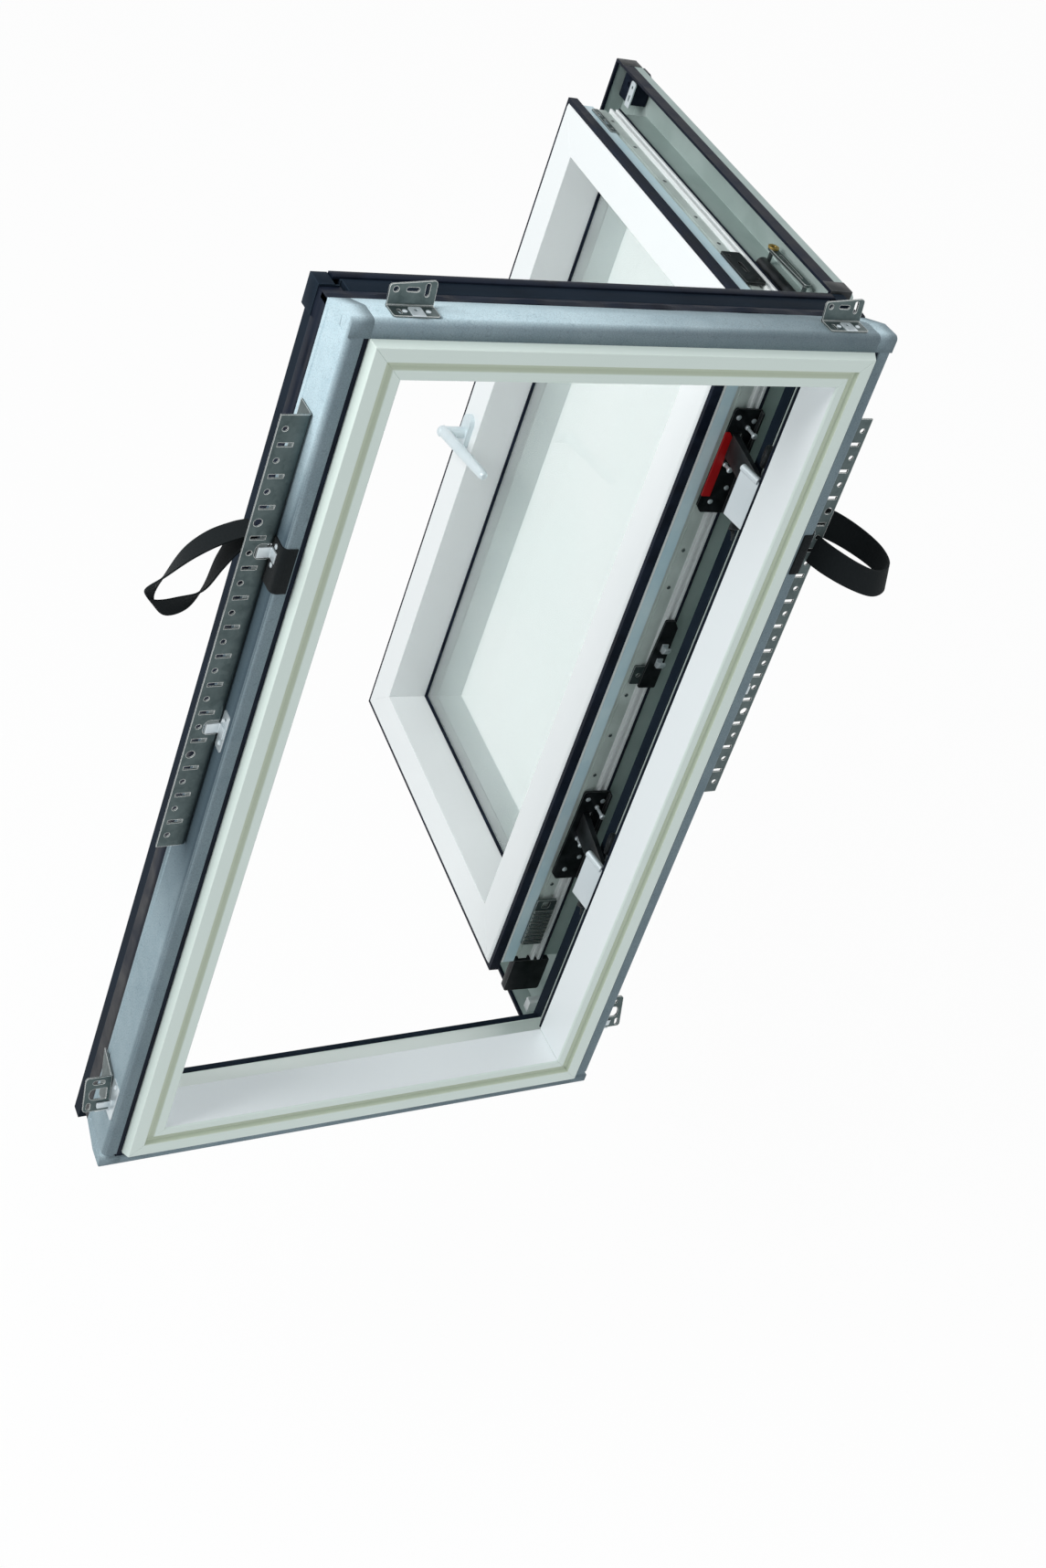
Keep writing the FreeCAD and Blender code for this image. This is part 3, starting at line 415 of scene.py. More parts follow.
layered("red_plastic", (0.42, 0.003, 0.005), grain=(0.0012,), edge=(0.0008, 0.3, 0.4, (0.62, 0.03, 0.03)),
        rough=("grain", 0.32, 0.45), relief=(0.06,))

# %% [markdown]
# Rails, brackets and clips are zinc-plated steel: a grey-green metal with a faint crystal pattern,
# rolling streaks, and a painted near-white highlight along the cut edges. The straps are woven, and the
# weave follows each strap's own UV map, so that it bends with the strap.

# %% Zinc-plated steel and webbing
RIB = 0.0011


def zinc_steel():
    tree, shader = start_finish("steel", Metallic=0.75)
    rolled = place_group(tree, ROLLED, streaks=(1.0, 1.0, 0.02), crystal=0.005)
    smear = place_group(tree, SMEARS, size=0.03, contrast=0.8)["Smear"]
    edge = place_group(tree, EDGE_HIGHLIGHTS, radius=0.0011, break_up=0.25)["Edge"]
    base = blend(tree, smear, (0.050, 0.074, 0.076), (0.090, 0.122, 0.124))
    base = blend(tree, times(tree, rolled["Spangle"], 0.3), base, (0.13, 0.17, 0.17))
    # Painted highlight: edges are blended to near white.
    colour = blend(tree, edge, base, (0.86, 0.88, 0.86))
    rough = between(tree, rolled["Streak"], 0.3, 0.7, 0.28, 0.46)
    join(tree, shader, Base_Color=colour, Roughness=rough, Normal=bump(tree, rolled["Streak"], 0.05, 0.0003))


def webbing():
    tree, shader = start_finish("webbing", Roughness=0.8, Specular_IOR_Level=0.12, Sheen_Weight=0.05,
                                Sheen_Roughness=0.5)
    uv = add(tree, "ShaderNodeTexCoord").outputs["UV"]
    parts = add(tree, "ShaderNodeSeparateXYZ", {0: uv})
    ribs = sum_of(tree, "SINE", times(tree, parts.outputs["X"], 2 * math.pi / RIB))
    weft = sum_of(tree, "SINE", times(tree, parts.outputs["Y"], 2 * math.pi / (RIB * 1.6)))
    weave = between(tree, times(tree, ribs, weft), -1.0, 1.0)
    fuzz = place_group(tree, GRAIN, size=0.0008)["Tone"]
    colour = blend(tree, times(tree, weave, fuzz), (0.003, 0.005, 0.006), (0.014, 0.019, 0.021))
    join(tree, shader, Base_Color=colour, Normal=bump(tree, weave, 0.5, 0.0004))


zinc_steel()
webbing()

# %% [markdown]
# Four finishes are variants for single places: the pale blue film on the edge of the sash, the lock
# channel's metal, painted much lighter than the plated steel as a painted highlight, the brass of one
# ring, and the paler satin of the handle.

# %% Film, channel, brass and handle
layered("film", (0.52, 0.72, 0.80), (0.68, 0.84, 0.88), smear=(0.06, 0.7), Roughness=0.3, Coat_Weight=0.3)
# Painted highlight: the channel's metal is a lighter copy of the plated steel.
layered("channel", (0.46, 0.53, 0.50), (0.64, 0.72, 0.69), smear=(0.07, 0.8), grain=(0.001, (1.0, 1.0, 0.1)),
        rough=("grain", 0.3, 0.45), relief=(0.08, 0.0003), Metallic=0.1)
layered("brass", (0.42, 0.27, 0.06), (0.66, 0.46, 0.14), smear=(0.01, 0.6), Metallic=0.7, Roughness=0.3)
layered("handle_silver", (0.62, 0.72, 0.75), (0.72, 0.80, 0.83), smear=(0.03, 0.5), grain=(0.0006, BRUSHED),
        rough=("grain", 0.26, 0.36), relief=(0.03, 0.0003), Metallic=0.3)
print(len(FINISHES), "finishes:", ", ".join(FINISHES))

# %% [markdown]
# Every new piece is described in the millimetres of the closed window: X to the right, Y outdoors, Z up
# and zero at the middle of the frame's room face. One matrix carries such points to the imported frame. A
# second one turns them about the hinge pivot first, for all that rides on the open sash.

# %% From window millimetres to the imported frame
MM = 0.001
PIVOT = Vector((322.7, 132.8, 0.0))
OPENING = math.radians(93.95)
FIXED = Matrix.Translation(FRAME_MIDDLE) @ Matrix.Diagonal((MM, MM, MM, 1.0))
SASH = FIXED @ Matrix.Translation(PIVOT) @ Matrix.Rotation(-OPENING, 4, "Z") @ Matrix.Translation(-PIVOT)


X, Y, Z = (1, 0, 0), (0, 1, 0), (0, 0, 1)
HANDS = {"left": -1, "right": 1}


def plane_at(origin, across, up):
    """Lays a drawing's X along `across` and its Y along `up`; it grows to their cross product."""
    across, up = Vector(across).normalized(), Vector(up).normalized()
    out = across.cross(up)
    return Matrix([(across[i], up[i], out[i], origin[i]) for i in range(3)] + [(0.0, 0.0, 0.0, 1.0)])


def at_x(x):
    """Plane at x for drawings of (depth, height); they grow to the right."""
    return plane_at((x, 0, 0), Y, Z)


def at_y(y):
    """Plane at y for drawings of (x, height); they grow towards the room."""
    return plane_at((0, y, 0), X, Z)


def at_z(z):
    """Plane at z for drawings of (x, depth); they grow upwards."""
    return plane_at((0, 0, z), X, Y)


def new_object(name, data):
    """Object in the scene that shows a mesh, a lamp or a camera."""
    item = bpy.data.objects.new(name, data)
    bpy.context.collection.objects.link(item)
    return item


def add_piece(name, mesh, slot, replaces=(), finish=None, rim=0.0):
    """Puts a mesh in the scene with its finish, its body and softly broken edges; the finish is the slot's
    unless another is named.
    """
    piece = new_object(name, mesh)
    mesh.materials.clear()
    mesh.materials.append(FINISHES[finish or slot])
    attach(piece, "root")
    if replaces:
        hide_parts(*replaces)
    if rim:
        broken = piece.modifiers.new("Broken edge", "BEVEL")
        broken.width = rim * MM
        broken.segments = 2
        broken.limit_method = "ANGLE"
        broken.angle_limit = math.radians(35)
    return piece


print("zero of the window", tuple(round(value, 3) for value in FRAME_MIDDLE))

# %% [markdown]
# Three ways of making a solid cover nearly everything on a window. Frames, seals and covers are one
# profile swept round a rectangle with mitred corners. Sheet-metal parts are an outline with holes, cut
# to a thickness. Pins, caps and levers are turned from a profile.

# %% Profiles swept round a rectangle
SIDES = {"bottom": ((0, 2), (1, 2)), "right": ((1, 2), (1, 3)), "top": ((1, 3), (0, 3)),
         "left": ((0, 3), (0, 2))}


def to_mesh(shape, carrier):
    bmesh.ops.remove_doubles(shape, verts=shape.verts, dist=0.001)
    bmesh.ops.recalc_face_normals(shape, faces=shape.faces)
    mesh = bpy.data.meshes.new("shape")
    shape.to_mesh(mesh)
    shape.free()
    mesh.transform(carrier)
    return mesh


def bridge(shape, row, following):
    """Faces between two closed rows of corners; a corner that both share gives a triangle."""
    for k, corner in enumerate(row):
        after = (k + 1) % len(row)
        corners = dict.fromkeys((corner, row[after], following[after], following[k]))
        shape.faces.new(list(corners))


def grown(rect, inset, depth):
    """The rectangle (left, right, low, high) set in on all sides, at a depth."""
    left, right, low, high = rect
    return left + inset, right - inset, low + inset, high - inset, depth


def swept_side(side, loops, carrier=FIXED):
    """One mitred member: each loop of the profile is a rectangle at a depth."""
    shape = bmesh.new()
    rows = [[shape.verts.new((loop[x], loop[4], loop[z])) for x, z in SIDES[side]] for loop in loops]
    for i, row in enumerate(rows):
        following = rows[(i + 1) % len(rows)]
        shape.faces.new((row[0], row[1], following[1], following[0]))
    for end in (0, 1):
        shape.faces.new([row[end] for row in rows])
    return to_mesh(shape, carrier)


def swept_ring(loops, carrier=FIXED):
    """The whole ring in one mesh, closed round its four corners."""
    shape = bmesh.new()
    rows = [[shape.verts.new((loop[x], loop[4], loop[z])) for x, z in ((0, 2), (1, 2), (1, 3), (0, 3))]
            for loop in loops]
    for i, row in enumerate(rows):
        bridge(shape, row, rows[(i + 1) % len(rows)])
    return to_mesh(shape, carrier)


# %% Outlines, cut sheets and turned parts
def rounded(corners, steps=5):
    """Points of a closed outline; a corner given as (x, y, radius) is rounded."""
    points = []
    for i, corner in enumerate(corners):
        here = Vector(corner[:2])
        if len(corner) < 3:
            points.append(here)
            continue
        back = (Vector(corners[i - 1][:2]) - here).normalized()
        on = (Vector(corners[(i + 1) % len(corners)][:2]) - here).normalized()
        half = back.angle(on) / 2
        centre = here + (back + on).normalized() * (corner[2] / math.sin(half))
        first = here + back * (corner[2] / math.tan(half)) - centre
        last = here + on * (corner[2] / math.tan(half)) - centre
        points += [centre + first.lerp(last, k / steps).normalized() * corner[2] for k in range(steps + 1)]
    return points


def panel(left, right, low, high, radius=0, steps=5):
    """Outline of a rectangle, with all four corners rounded if a radius is given."""
    corners = [(left, low), (right, low), (right, high), (left, high)]
    return rounded([(*corner, radius) for corner in corners], steps) if radius else corners


def round_hole(x, y, radius, count=20):
    turns = [2 * math.pi * k / count for k in range(count)]
    return [Vector((x + radius * math.cos(turn), y + radius * math.sin(turn))) for turn in turns]


def slot_hole(x, y, length, width, upright=False):
    half = (width / 2, length / 2) if upright else (length / 2, width / 2)
    return panel(x - half[0], x + half[0], y - half[1], y + half[1], min(half) * 0.95, 4)


def cut_sheet(outline, thickness, place, holes=(), carrier=FIXED):
    """Outline with holes, grown to a thickness from its plane."""
    curve = bpy.data.curves.new("outline", "CURVE")
    curve.dimensions = "2D"
    curve.fill_mode = "BOTH"
    curve.extrude = thickness / 2
    for points in (outline, *holes):
        spline = curve.splines.new("POLY")
        spline.points.add(len(points) - 1)
        for point, (x, y) in zip(spline.points, (pair[:2] for pair in points)):
            point.co = (x, y, 0.0, 1.0)
        spline.use_cyclic_u = True
    drawn = bpy.data.objects.new("outline", curve)
    flat = bpy.data.meshes.new_from_object(drawn)
    bpy.data.objects.remove(drawn)
    shape = bmesh.new()
    shape.from_mesh(flat)
    return to_mesh(shape, carrier @ place @ Matrix.Translation((0.0, 0.0, thickness / 2)))


def turned(profile, place, carrier=FIXED, steps=28):
    """Profile of (radius, height) pairs turned about the plane's own normal; a radius of 0 is a pole."""
    shape = bmesh.new()
    rows = []
    for radius, height in profile:
        if radius:
            rows.append([shape.verts.new((*point, height)) for point in round_hole(0, 0, radius, steps)])
        else:
            rows.append([shape.verts.new((0.0, 0.0, height))] * steps)
    for row, following in zip(rows, rows[1:]):
        bridge(shape, row, following)
    return to_mesh(shape, carrier @ place)


def joined(*meshes):
    shape = bmesh.new()
    for mesh in meshes:
        shape.from_mesh(mesh)
    whole = bpy.data.meshes.new("joined")
    shape.to_mesh(whole)
    shape.free()
    return whole


def sash_sheet(outline, thickness, place, *holes):
    """Cut sheet that rides on the open sash."""
    return cut_sheet(outline, thickness, place, holes, SASH)


def mirrored(points, x=1, y=1):
    flipped = [(x * point[0], y * point[1], *point[2:]) for point in points]
    return flipped if x * y > 0 else flipped[::-1]


print("sides", ", ".join(SIDES))

# %% [markdown]
# The frame is welded from four mitred lengths of one extrusion. Its room face stands eleven millimetres
# proud of the foam and carries the groove that takes the lining; behind it come a square reveal and a
# slope down to the rear lip. Broken edges leave the fine line of the weld at each corner.

# %% White frame
FRAME = (-325.0, 325.0, -590.0, 590.0)
FRAME_PROFILE = [(0, 11), (4, 0), (21, 0), (23, 6), (27, 6), (32, 2), (42, 1.5), (43.7, 3), (43.7, 58.5),
                 (41.2, 60.5), (6, 106.6), (3, 106.6), (3, 110.6), (0, 110.6)]
frame_loops = [grown(FRAME, inset, depth) for inset, depth in FRAME_PROFILE]
for side in SIDES:
    add_piece("frame_" + side, swept_side(side, frame_loops), "white_plastic", ["frame_member_" + side],
              rim=0.7)
print("frame profile of", len(FRAME_PROFILE), "points")

# %% [markdown]
# The foam collar is four moulded blocks, keyed together at the corners by dovetails that show on the
# sides. The upper and lower blocks slope down towards the roof, and a groove runs along the side blocks.
# A black strip closes the joint with the frame on three sides.

# %% Foam collar
FOAM_FRONT = 11.0
FOAM_REAR = 75.0
SIDE_WALL = 350.0
END_WALL = 612.0
KEY = [(23.5, 590.0), (34.5, 590.0), (36.5, 602.0), (21.5, 602.0)]

for side, hand in HANDS.items():
    section = mirrored([(325, 21), (332, 21), (332, FOAM_FRONT), (SIDE_WALL, FOAM_FRONT, 6), (SIDE_WALL, 65),
                        (348, 67), (SIDE_WALL, 69), (SIDE_WALL, FOAM_REAR), (325, FOAM_REAR)], x=hand)
    block = cut_sheet(rounded(section), 1180, at_z(-590))
    keys = [cut_sheet(mirrored(KEY, y=end), 24.6, at_x(325 if hand > 0 else -349.6)) for end in (-1, 1)]
    add_piece("foam_" + side, joined(block, *keys), "foam", ["insulation_block_" + side], rim=0.6)
for side, end in (("bottom", -1), ("top", 1)):
    front = [(FOAM_FRONT, 597), (21, 597), (21, 590)] if end < 0 else [(FOAM_FRONT, 590)]
    slope = [(FOAM_REAR, 590), (FOAM_REAR, 599), (40, END_WALL), (FOAM_FRONT, END_WALL, 6)]
    notch = [(23, 590.0), (21, 602.4), (37, 602.4), (35, 590.0)]
    middle = cut_sheet(rounded(mirrored(front + slope, y=end)), 650, at_x(-325))
    ends = [cut_sheet(rounded(mirrored(front + notch + slope, y=end)), 25, at_x(start))
            for start in (-SIDE_WALL, 325)]
    add_piece("foam_" + side, joined(middle, *ends), "foam", ["insulation_block_" + side])
strip = [(-332, 590), (-332, -597), (332, -597), (332, 590),
         (325, 590), (325, -590), (-325, -590), (-325, 590)]
add_piece("collar_strip", cut_sheet(strip, 8, at_y(21)), "black_rubber", ["collar_seal"], rim=0.8)
print("foam from", FOAM_FRONT, "to", FOAM_REAR, "mm")

# %% [markdown]
# Behind the foam a black gasket carries the dark sheet that throws the rain over the roofing. Along the
# top the gasket is thinner and waves a little where it is pressed, and the sheet starts earlier. Two
# angled caps close the upper corners, and a black lip seals the rear edge.

# %% Gasket, top and bottom cladding
CLAD_TOP = 599.0
WAVE = 1.1
GASKET_STEP = 5.0


def wavy_gasket():
    """Strip along the top whose upper face rises and falls."""
    shape = bmesh.new()
    rows = []
    for k in range(round(2 * SIDE_WALL / GASKET_STEP) + 1):
        x = -SIDE_WALL + GASKET_STEP * k
        rise = WAVE * (math.sin(x * 0.043) + 0.6 * math.sin(x * 0.11 + 1.0))
        section = ((75, 590), (75, CLAD_TOP + 0.6 + 0.4 * rise), (82, CLAD_TOP + 1.2 + rise),
                   (90, CLAD_TOP - 0.5), (90, 590))
        rows.append([shape.verts.new((x, *point)) for point in section])
    for row, following in zip(rows, rows[1:]):
        bridge(shape, row, following)
    shape.faces.new(rows[0])
    shape.faces.new(rows[-1])
    return to_mesh(shape, FIXED)


gasket_parts = [wavy_gasket()]
for hand in (-1, 1):
    gasket_parts.append(cut_sheet(mirrored(panel(325, SIDE_WALL, 75, 100), x=hand), 1196, at_z(-599)))
gasket_parts.append(cut_sheet([(75, -599), (75, -590), (100, -590), (100, -599)], 650, at_x(-325)))
add_piece("cladding_seal", joined(*gasket_parts), "black_rubber", ["cladding_gasket"])
top_sheet = [(90, 590), (90, CLAD_TOP), (114, CLAD_TOP), (120, 597.5), (126, 592), (126, 585),
             (110.6, 585), (110.6, 590)]
low_sheet = mirrored([(100, 590), (100, 599), (117, 599), (122, 597), (122, 590.5)], y=-1)
for name, outline, node in (("cladding_over_top", top_sheet, "cladding_top"),
                            ("cladding_under_sill", low_sheet, "cladding_bottom")):
    add_piece(name, cut_sheet(outline, 640, at_x(-320)), "anthracite", [node], rim=0.8)
lip = [(114, CLAD_TOP - 1), (127.5, CLAD_TOP - 6), (127.5, CLAD_TOP + 1.5), (122, CLAD_TOP + 3.6),
       (114, CLAD_TOP + 2.4)]
add_piece("rear_lip", cut_sheet(lip, 660, at_x(-330)), "black_rubber", rim=0.6)
CAP = [(351, 562), (351, 600), (332, 600), (332, CLAD_TOP), (350, CLAD_TOP), (350, 562)]
caps = [cut_sheet(mirrored(CAP, x=hand), 26, at_y(126)) for hand in (-1, 1)]
add_piece("cladding_corner_caps", joined(*caps), "anthracite", rim=0.3)
print("cladding top at", CLAD_TOP)

# %% [markdown]
# Brackets and clips are pressed from zinc-plated sheet. The two upper brackets lean back a little, with a
# round hole and two slots. The lower ones are kite-shaped with a wide D-shaped window. Short clips with a
# tongue reach through windows in the rails, and each stands on a bright plate screwed to the foam.

# %% Upper brackets
BRACKET_SHEET = 2.5
UPPER_BRACKETS = {"left": -276.0, "right": 282.0}
LEAN = math.atan2(5.0, 31.0)
for side, centre in UPPER_BRACKETS.items():
    outline = rounded([(-27, 1), (27, 1), (27, 30.5, 4), (-27, 25, 4)])
    holes = [round_hole(-19.5, 19.5, 3.25), slot_hole(0, 19.5, 15, 5),
             slot_hole(16.5, 19.5, 15, 5, upright=True)]
    leaning = (0, math.sin(LEAN), math.cos(LEAN))
    flange = cut_sheet(outline, BRACKET_SHEET, plane_at((centre, 40, END_WALL), X, leaning), holes)
    foot = cut_sheet(rounded([(-27, 17, 3), (27, 17, 3), (27, 39), (-27, 39)]), BRACKET_SHEET,
                     plane_at((centre, 0, END_WALL), X, Y), [slot_hole(-17, 26, 9, 4, upright=True)])
    bend = cut_sheet([(36.4, 612), (39.5, 612), (40.4, 613), (40.8, 615.5), (38.3, 615.5), (37.6, 614.6),
                      (36.4, 614.5)], 54, at_x(centre - 27))
    add_piece("upper_bracket_" + side, joined(flange, foot, bend), "steel", ["top_bracket_" + side], rim=0.3)
    tongue = cut_sheet(rounded([(-7.5, 16), (7.5, 16), (7.5, 33, 2), (-7.5, 33, 2)]), 1.5,
                       plane_at((centre + 2, 0, END_WALL + BRACKET_SHEET), X, Y), [round_hole(0, 27, 2.6)])
    add_piece("upper_tongue_" + side, tongue, "satin_silver", rim=0.3)
print("upper brackets at", UPPER_BRACKETS)

# %% Lower brackets and their plates
LOW_LEVEL = -503.0
TILT = math.radians(18)
PLATE_SHEET = 1.5


def wall_plate(hand, outline, *holes):
    """Thin plate that lies on the foam's side."""
    start = SIDE_WALL if hand > 0 else -SIDE_WALL - PLATE_SHEET
    return cut_sheet(outline, PLATE_SHEET, at_x(start), holes)


for side, hand in HANDS.items():
    turn = Matrix.Translation((hand * (SIDE_WALL + 1.5), 33, LOW_LEVEL)) @ Matrix.Rotation(-TILT, 4, "X")
    window = rounded(mirrored([(6, -7), (28, -7, 6), (28, 7, 6), (6, 7)], x=hand))
    slots = [window, slot_hole(hand * 17, 15, 15, 5), slot_hole(hand * 27.5, -15, 9, 5, upright=True)]
    flange_outline = mirrored([(1.5, -22), (34, -22, 4), (34, 22, 4), (1.5, 22)], x=hand)
    flange = cut_sheet(rounded(flange_outline), BRACKET_SHEET, turn @ at_y(BRACKET_SHEET), slots)
    leg = cut_sheet([(1.5, -22), (32, -22), (32, 40), (1.5, 22)], BRACKET_SHEET,
                    turn @ at_x(0 if hand > 0 else -BRACKET_SHEET))
    add_piece("lower_bracket_sheet_" + side, joined(flange, leg), "steel", ["lower_bracket_" + side], rim=0.3)
    plate = wall_plate(hand, panel(16, 36, LOW_LEVEL - 31, LOW_LEVEL + 22, 3))
    hook = mirrored([(351, 27), (369, 27, 2), (369, 28.5), (352.5, 28.5), (352.5, 33), (351, 33)], x=hand)
    hook = cut_sheet(rounded(hook), 14, at_z(LOW_LEVEL - 24))
    add_piece("lower_plate_" + side, joined(plate, hook), "satin_silver", rim=0.3)
print("lower brackets at", LOW_LEVEL)

# %% Rail clips on their plates
RAIL_MIDDLE = 190.0
CLIP_STEP = 120.0
PATCH_SHEET = 2.0
for side, hand in HANDS.items():
    parts = []
    for step, base in ((CLIP_STEP, PATCH_SHEET), (-CLIP_STEP, PLATE_SHEET)):
        foot = SIDE_WALL + base
        outline = [(foot, 19), (foot + 1.5, 19), (foot + 1.5, 31, 1.2), (SIDE_WALL + 19, 30, 1),
                   (SIDE_WALL + 19, 31.5), (foot, 32.9)]
        parts.append(cut_sheet(rounded(mirrored(outline, x=hand), 3), 13, at_z(RAIL_MIDDLE + step - 6.5)))
    low = RAIL_MIDDLE - CLIP_STEP
    parts.append(wall_plate(hand, panel(17, 33, low - 25, low + 25, 3), round_hole(25, low + 16, 2.4)))
    add_piece("rail_tongues_" + side, joined(*parts), "satin_silver", ["rail_clips_" + side], rim=0.3)
print("clips", CLIP_STEP, "mm above and below", RAIL_MIDDLE)

# %% [markdown]
# The lifting straps are loops of black webbing, stitched to a patch that wraps round the foam's edge.
# Flat webbing is modelled directly as a ribbon: a smooth path, the direction of its width at each point,
# and a wall thickness. Its UV map is in metres, so the weave has the same size all along it.

# %% Straps and patches
STRAP_WIDTH = {"left": 29.0, "right": 40.0}
STRAP_PATHS = {
    "left": [((-357, 80, 307), (0, 1, 0)), ((-375, 80, 303), (0, 1, 0)), ((-400, 80, 292), (0.02, 1, -0.02)),
             ((-423, 80, 273), (0.15, 0.97, -0.15)), ((-441, 80, 246), (0.39, 0.8, -0.45)),
             ((-454, 80, 222), (0.62, 0.45, -0.7)), ((-440, 80, 203), (0.75, 0.1, -0.95)),
             ((-416, 80, 206), (0.7, 0.25, -0.85)), ((-394, 80, 225), (0.39, 0.8, -0.45)),
             ((-383, 80, 260), (0.12, 0.95, -0.15)), ((-372, 80, 284), (0, 1, 0)),
             ((-356, 80, 301), (0, 1, 0))],
    "right": [((351, 92, 302), (0.05, 0.1, 1)), ((385, 88, 303), (0.05, 0.1, 1)),
              ((422, 70, 300), (0, 0.15, 1)), ((452, 44, 293), (-0.1, 0.1, 1)),
              ((470, 14, 286), (-0.2, 0, 1)), ((468, -12, 280), (-0.25, 0, 1)),
              ((446, -21, 276), (-0.2, 0, 1)), ((418, -10, 280), (-0.1, 0, 1)),
              ((388, 18, 287), (0, 0.1, 1)), ((368, 50, 294), (0.05, 0.1, 1)),
              ((351, 72, 298), (0.05, 0.1, 1))],
}


def smooth_path(points, steps=8):
    """Passes a smooth line through the points and carries a second vector along with each."""
    path = []
    for i in range(len(points) - 1):
        ends = [points[max(i - 1, 0)], points[i], points[i + 1], points[min(i + 2, len(points) - 1)]]
        for k in range(steps if i < len(points) - 2 else steps + 1):
            t = k / steps
            weights = (-0.5 * t + t * t - 0.5 * t ** 3, 1 - 2.5 * t * t + 1.5 * t ** 3,
                       0.5 * t + 2 * t * t - 1.5 * t ** 3, 0.5 * (t ** 3 - t * t))
            path.append([sum((Vector(end[part]) * weight for end, weight in zip(ends, weights)), Vector())
                         for part in (0, 1)])
    return path


def ribbon(points, width):
    """Flat band along the path, with a UV map in metres."""
    shape = bmesh.new()
    uv = shape.loops.layers.uv.new("UVMap")
    path = smooth_path(points)
    cuts = 4
    rows, along, travelled = [], [], 0.0
    for i, (place, across) in enumerate(path):
        travelled += (place - path[i - 1][0]).length * MM if i else 0.0
        along.append(travelled)
        rows.append([shape.verts.new(place + across.normalized() * width * (k / cuts - 0.5))
                     for k in range(cuts + 1)])
    for i in range(len(rows) - 1):
        for k in range(cuts):
            face = shape.faces.new((rows[i][k], rows[i + 1][k], rows[i + 1][k + 1], rows[i][k + 1]))
            for loop, (row, column) in zip(face.loops, ((i, k), (i + 1, k), (i + 1, k + 1), (i, k + 1))):
                loop[uv].uv = (along[row], column * width * MM / cuts)
    mesh = bpy.data.meshes.new("ribbon")
    shape.to_mesh(mesh)
    shape.free()
    mesh.transform(FIXED)
    print("ribbon of", round(travelled, 3), "m")
    return mesh


def thicken(piece, name, thickness, offset=-1.0):
    wall = piece.modifiers.new(name, "SOLIDIFY")
    wall.thickness = thickness
    wall.offset = offset


for side, points in STRAP_PATHS.items():
    loop_mesh = ribbon(points, STRAP_WIDTH[side])
    strap = add_piece("strap_" + side, loop_mesh, "webbing", ["lifting_strap_" + side])
    thicken(strap, "Webbing thickness", 0.002, 0.0)
PATCH_LEVEL = 300.0
PATCH = [(334, 9), (352, 9, 8), (352, 45), (350, 45), (350, 11, 6), (334, 11)]
patches = [cut_sheet(rounded(mirrored(PATCH, x=hand)), 58, at_z(PATCH_LEVEL - 29)) for hand in (-1, 1)]
add_piece("strap_patch", joined(*patches), "webbing", rim=0.4)

# %% [markdown]
# The sash is a second mitred frame. Its edge carries a pale protective film and a grey channel with the
# lock bar, and a black bead holds the glass. They run round all four sides, so each is a thin ring on the
# sash's own rectangle.

# %% Sash and the bands on its outer face
SASH_RECT = (-279.8, 279.8, -544.8, 544.8)
SASH_FACE_AT = 60.0
SASH_PROFILE = [(0, 3), (3, 0), (57, 0), (57, 63), (45, 63), (45, 84), (0, 84), (0, 80), (6, 80), (6, 74),
                (0, 74), (0, 70), (6, 70), (6, 42.4), (1, 42.4), (1, 25.6), (0, 25.6)]
SASH_MEMBERS = {"bottom": "bottom", "left": "free", "top": "top", "right": "hinge"}


def levels(rect, *pairs):
    """Loops of a profile on the sash: (inset from the rectangle, depth behind the sash's face)."""
    return [grown(rect, inset, depth + SASH_FACE_AT) for inset, depth in pairs]


for side, word in SASH_MEMBERS.items():
    add_piece("sash_" + word, swept_side(side, levels(SASH_RECT, *SASH_PROFILE), SASH), "white_plastic",
              ["sash_member_" + word], finish="sash_plastic", rim=0.8)
for name, slot, finish, inset, start, end, thickness in (
        ("edge_film", "white_plastic", "film", 0.3, 25.9, 42.1, 0.9),
        ("lock_channel", "steel", "channel", 5.1, 43.4, 68.6, 1.2),
        ("lock_bar", "steel", "channel", 2.6, 50.5, 62.5, 2.6)):
    far = inset + thickness
    band = levels(SASH_RECT, (inset, start), (inset, end), (far, end), (far, start))
    add_piece(name, swept_ring(band, SASH), slot, finish=finish)
bead = levels(SASH_RECT, (56.5, 62), (59.5, 62.6), (60.2, 66), (56.5, 66))
add_piece("glazing_bead", swept_ring(bead, SASH), "black_rubber", ["glazing_seal"])
print("sash profile of", len(SASH_PROFILE), "points")

# %% [markdown]
# The outdoor side of the sash wears a folded metal cover that overhangs it by a different amount on each
# side. The levels of its profile are therefore rectangles of their own: the outer edge, the bevel, the
# leg beside the sash and the lip by the glass. Thin black caps close its corners, rubber runs along its
# edge and its leg, and a block with a bright angle plate fills the upper corner away from the hinge.

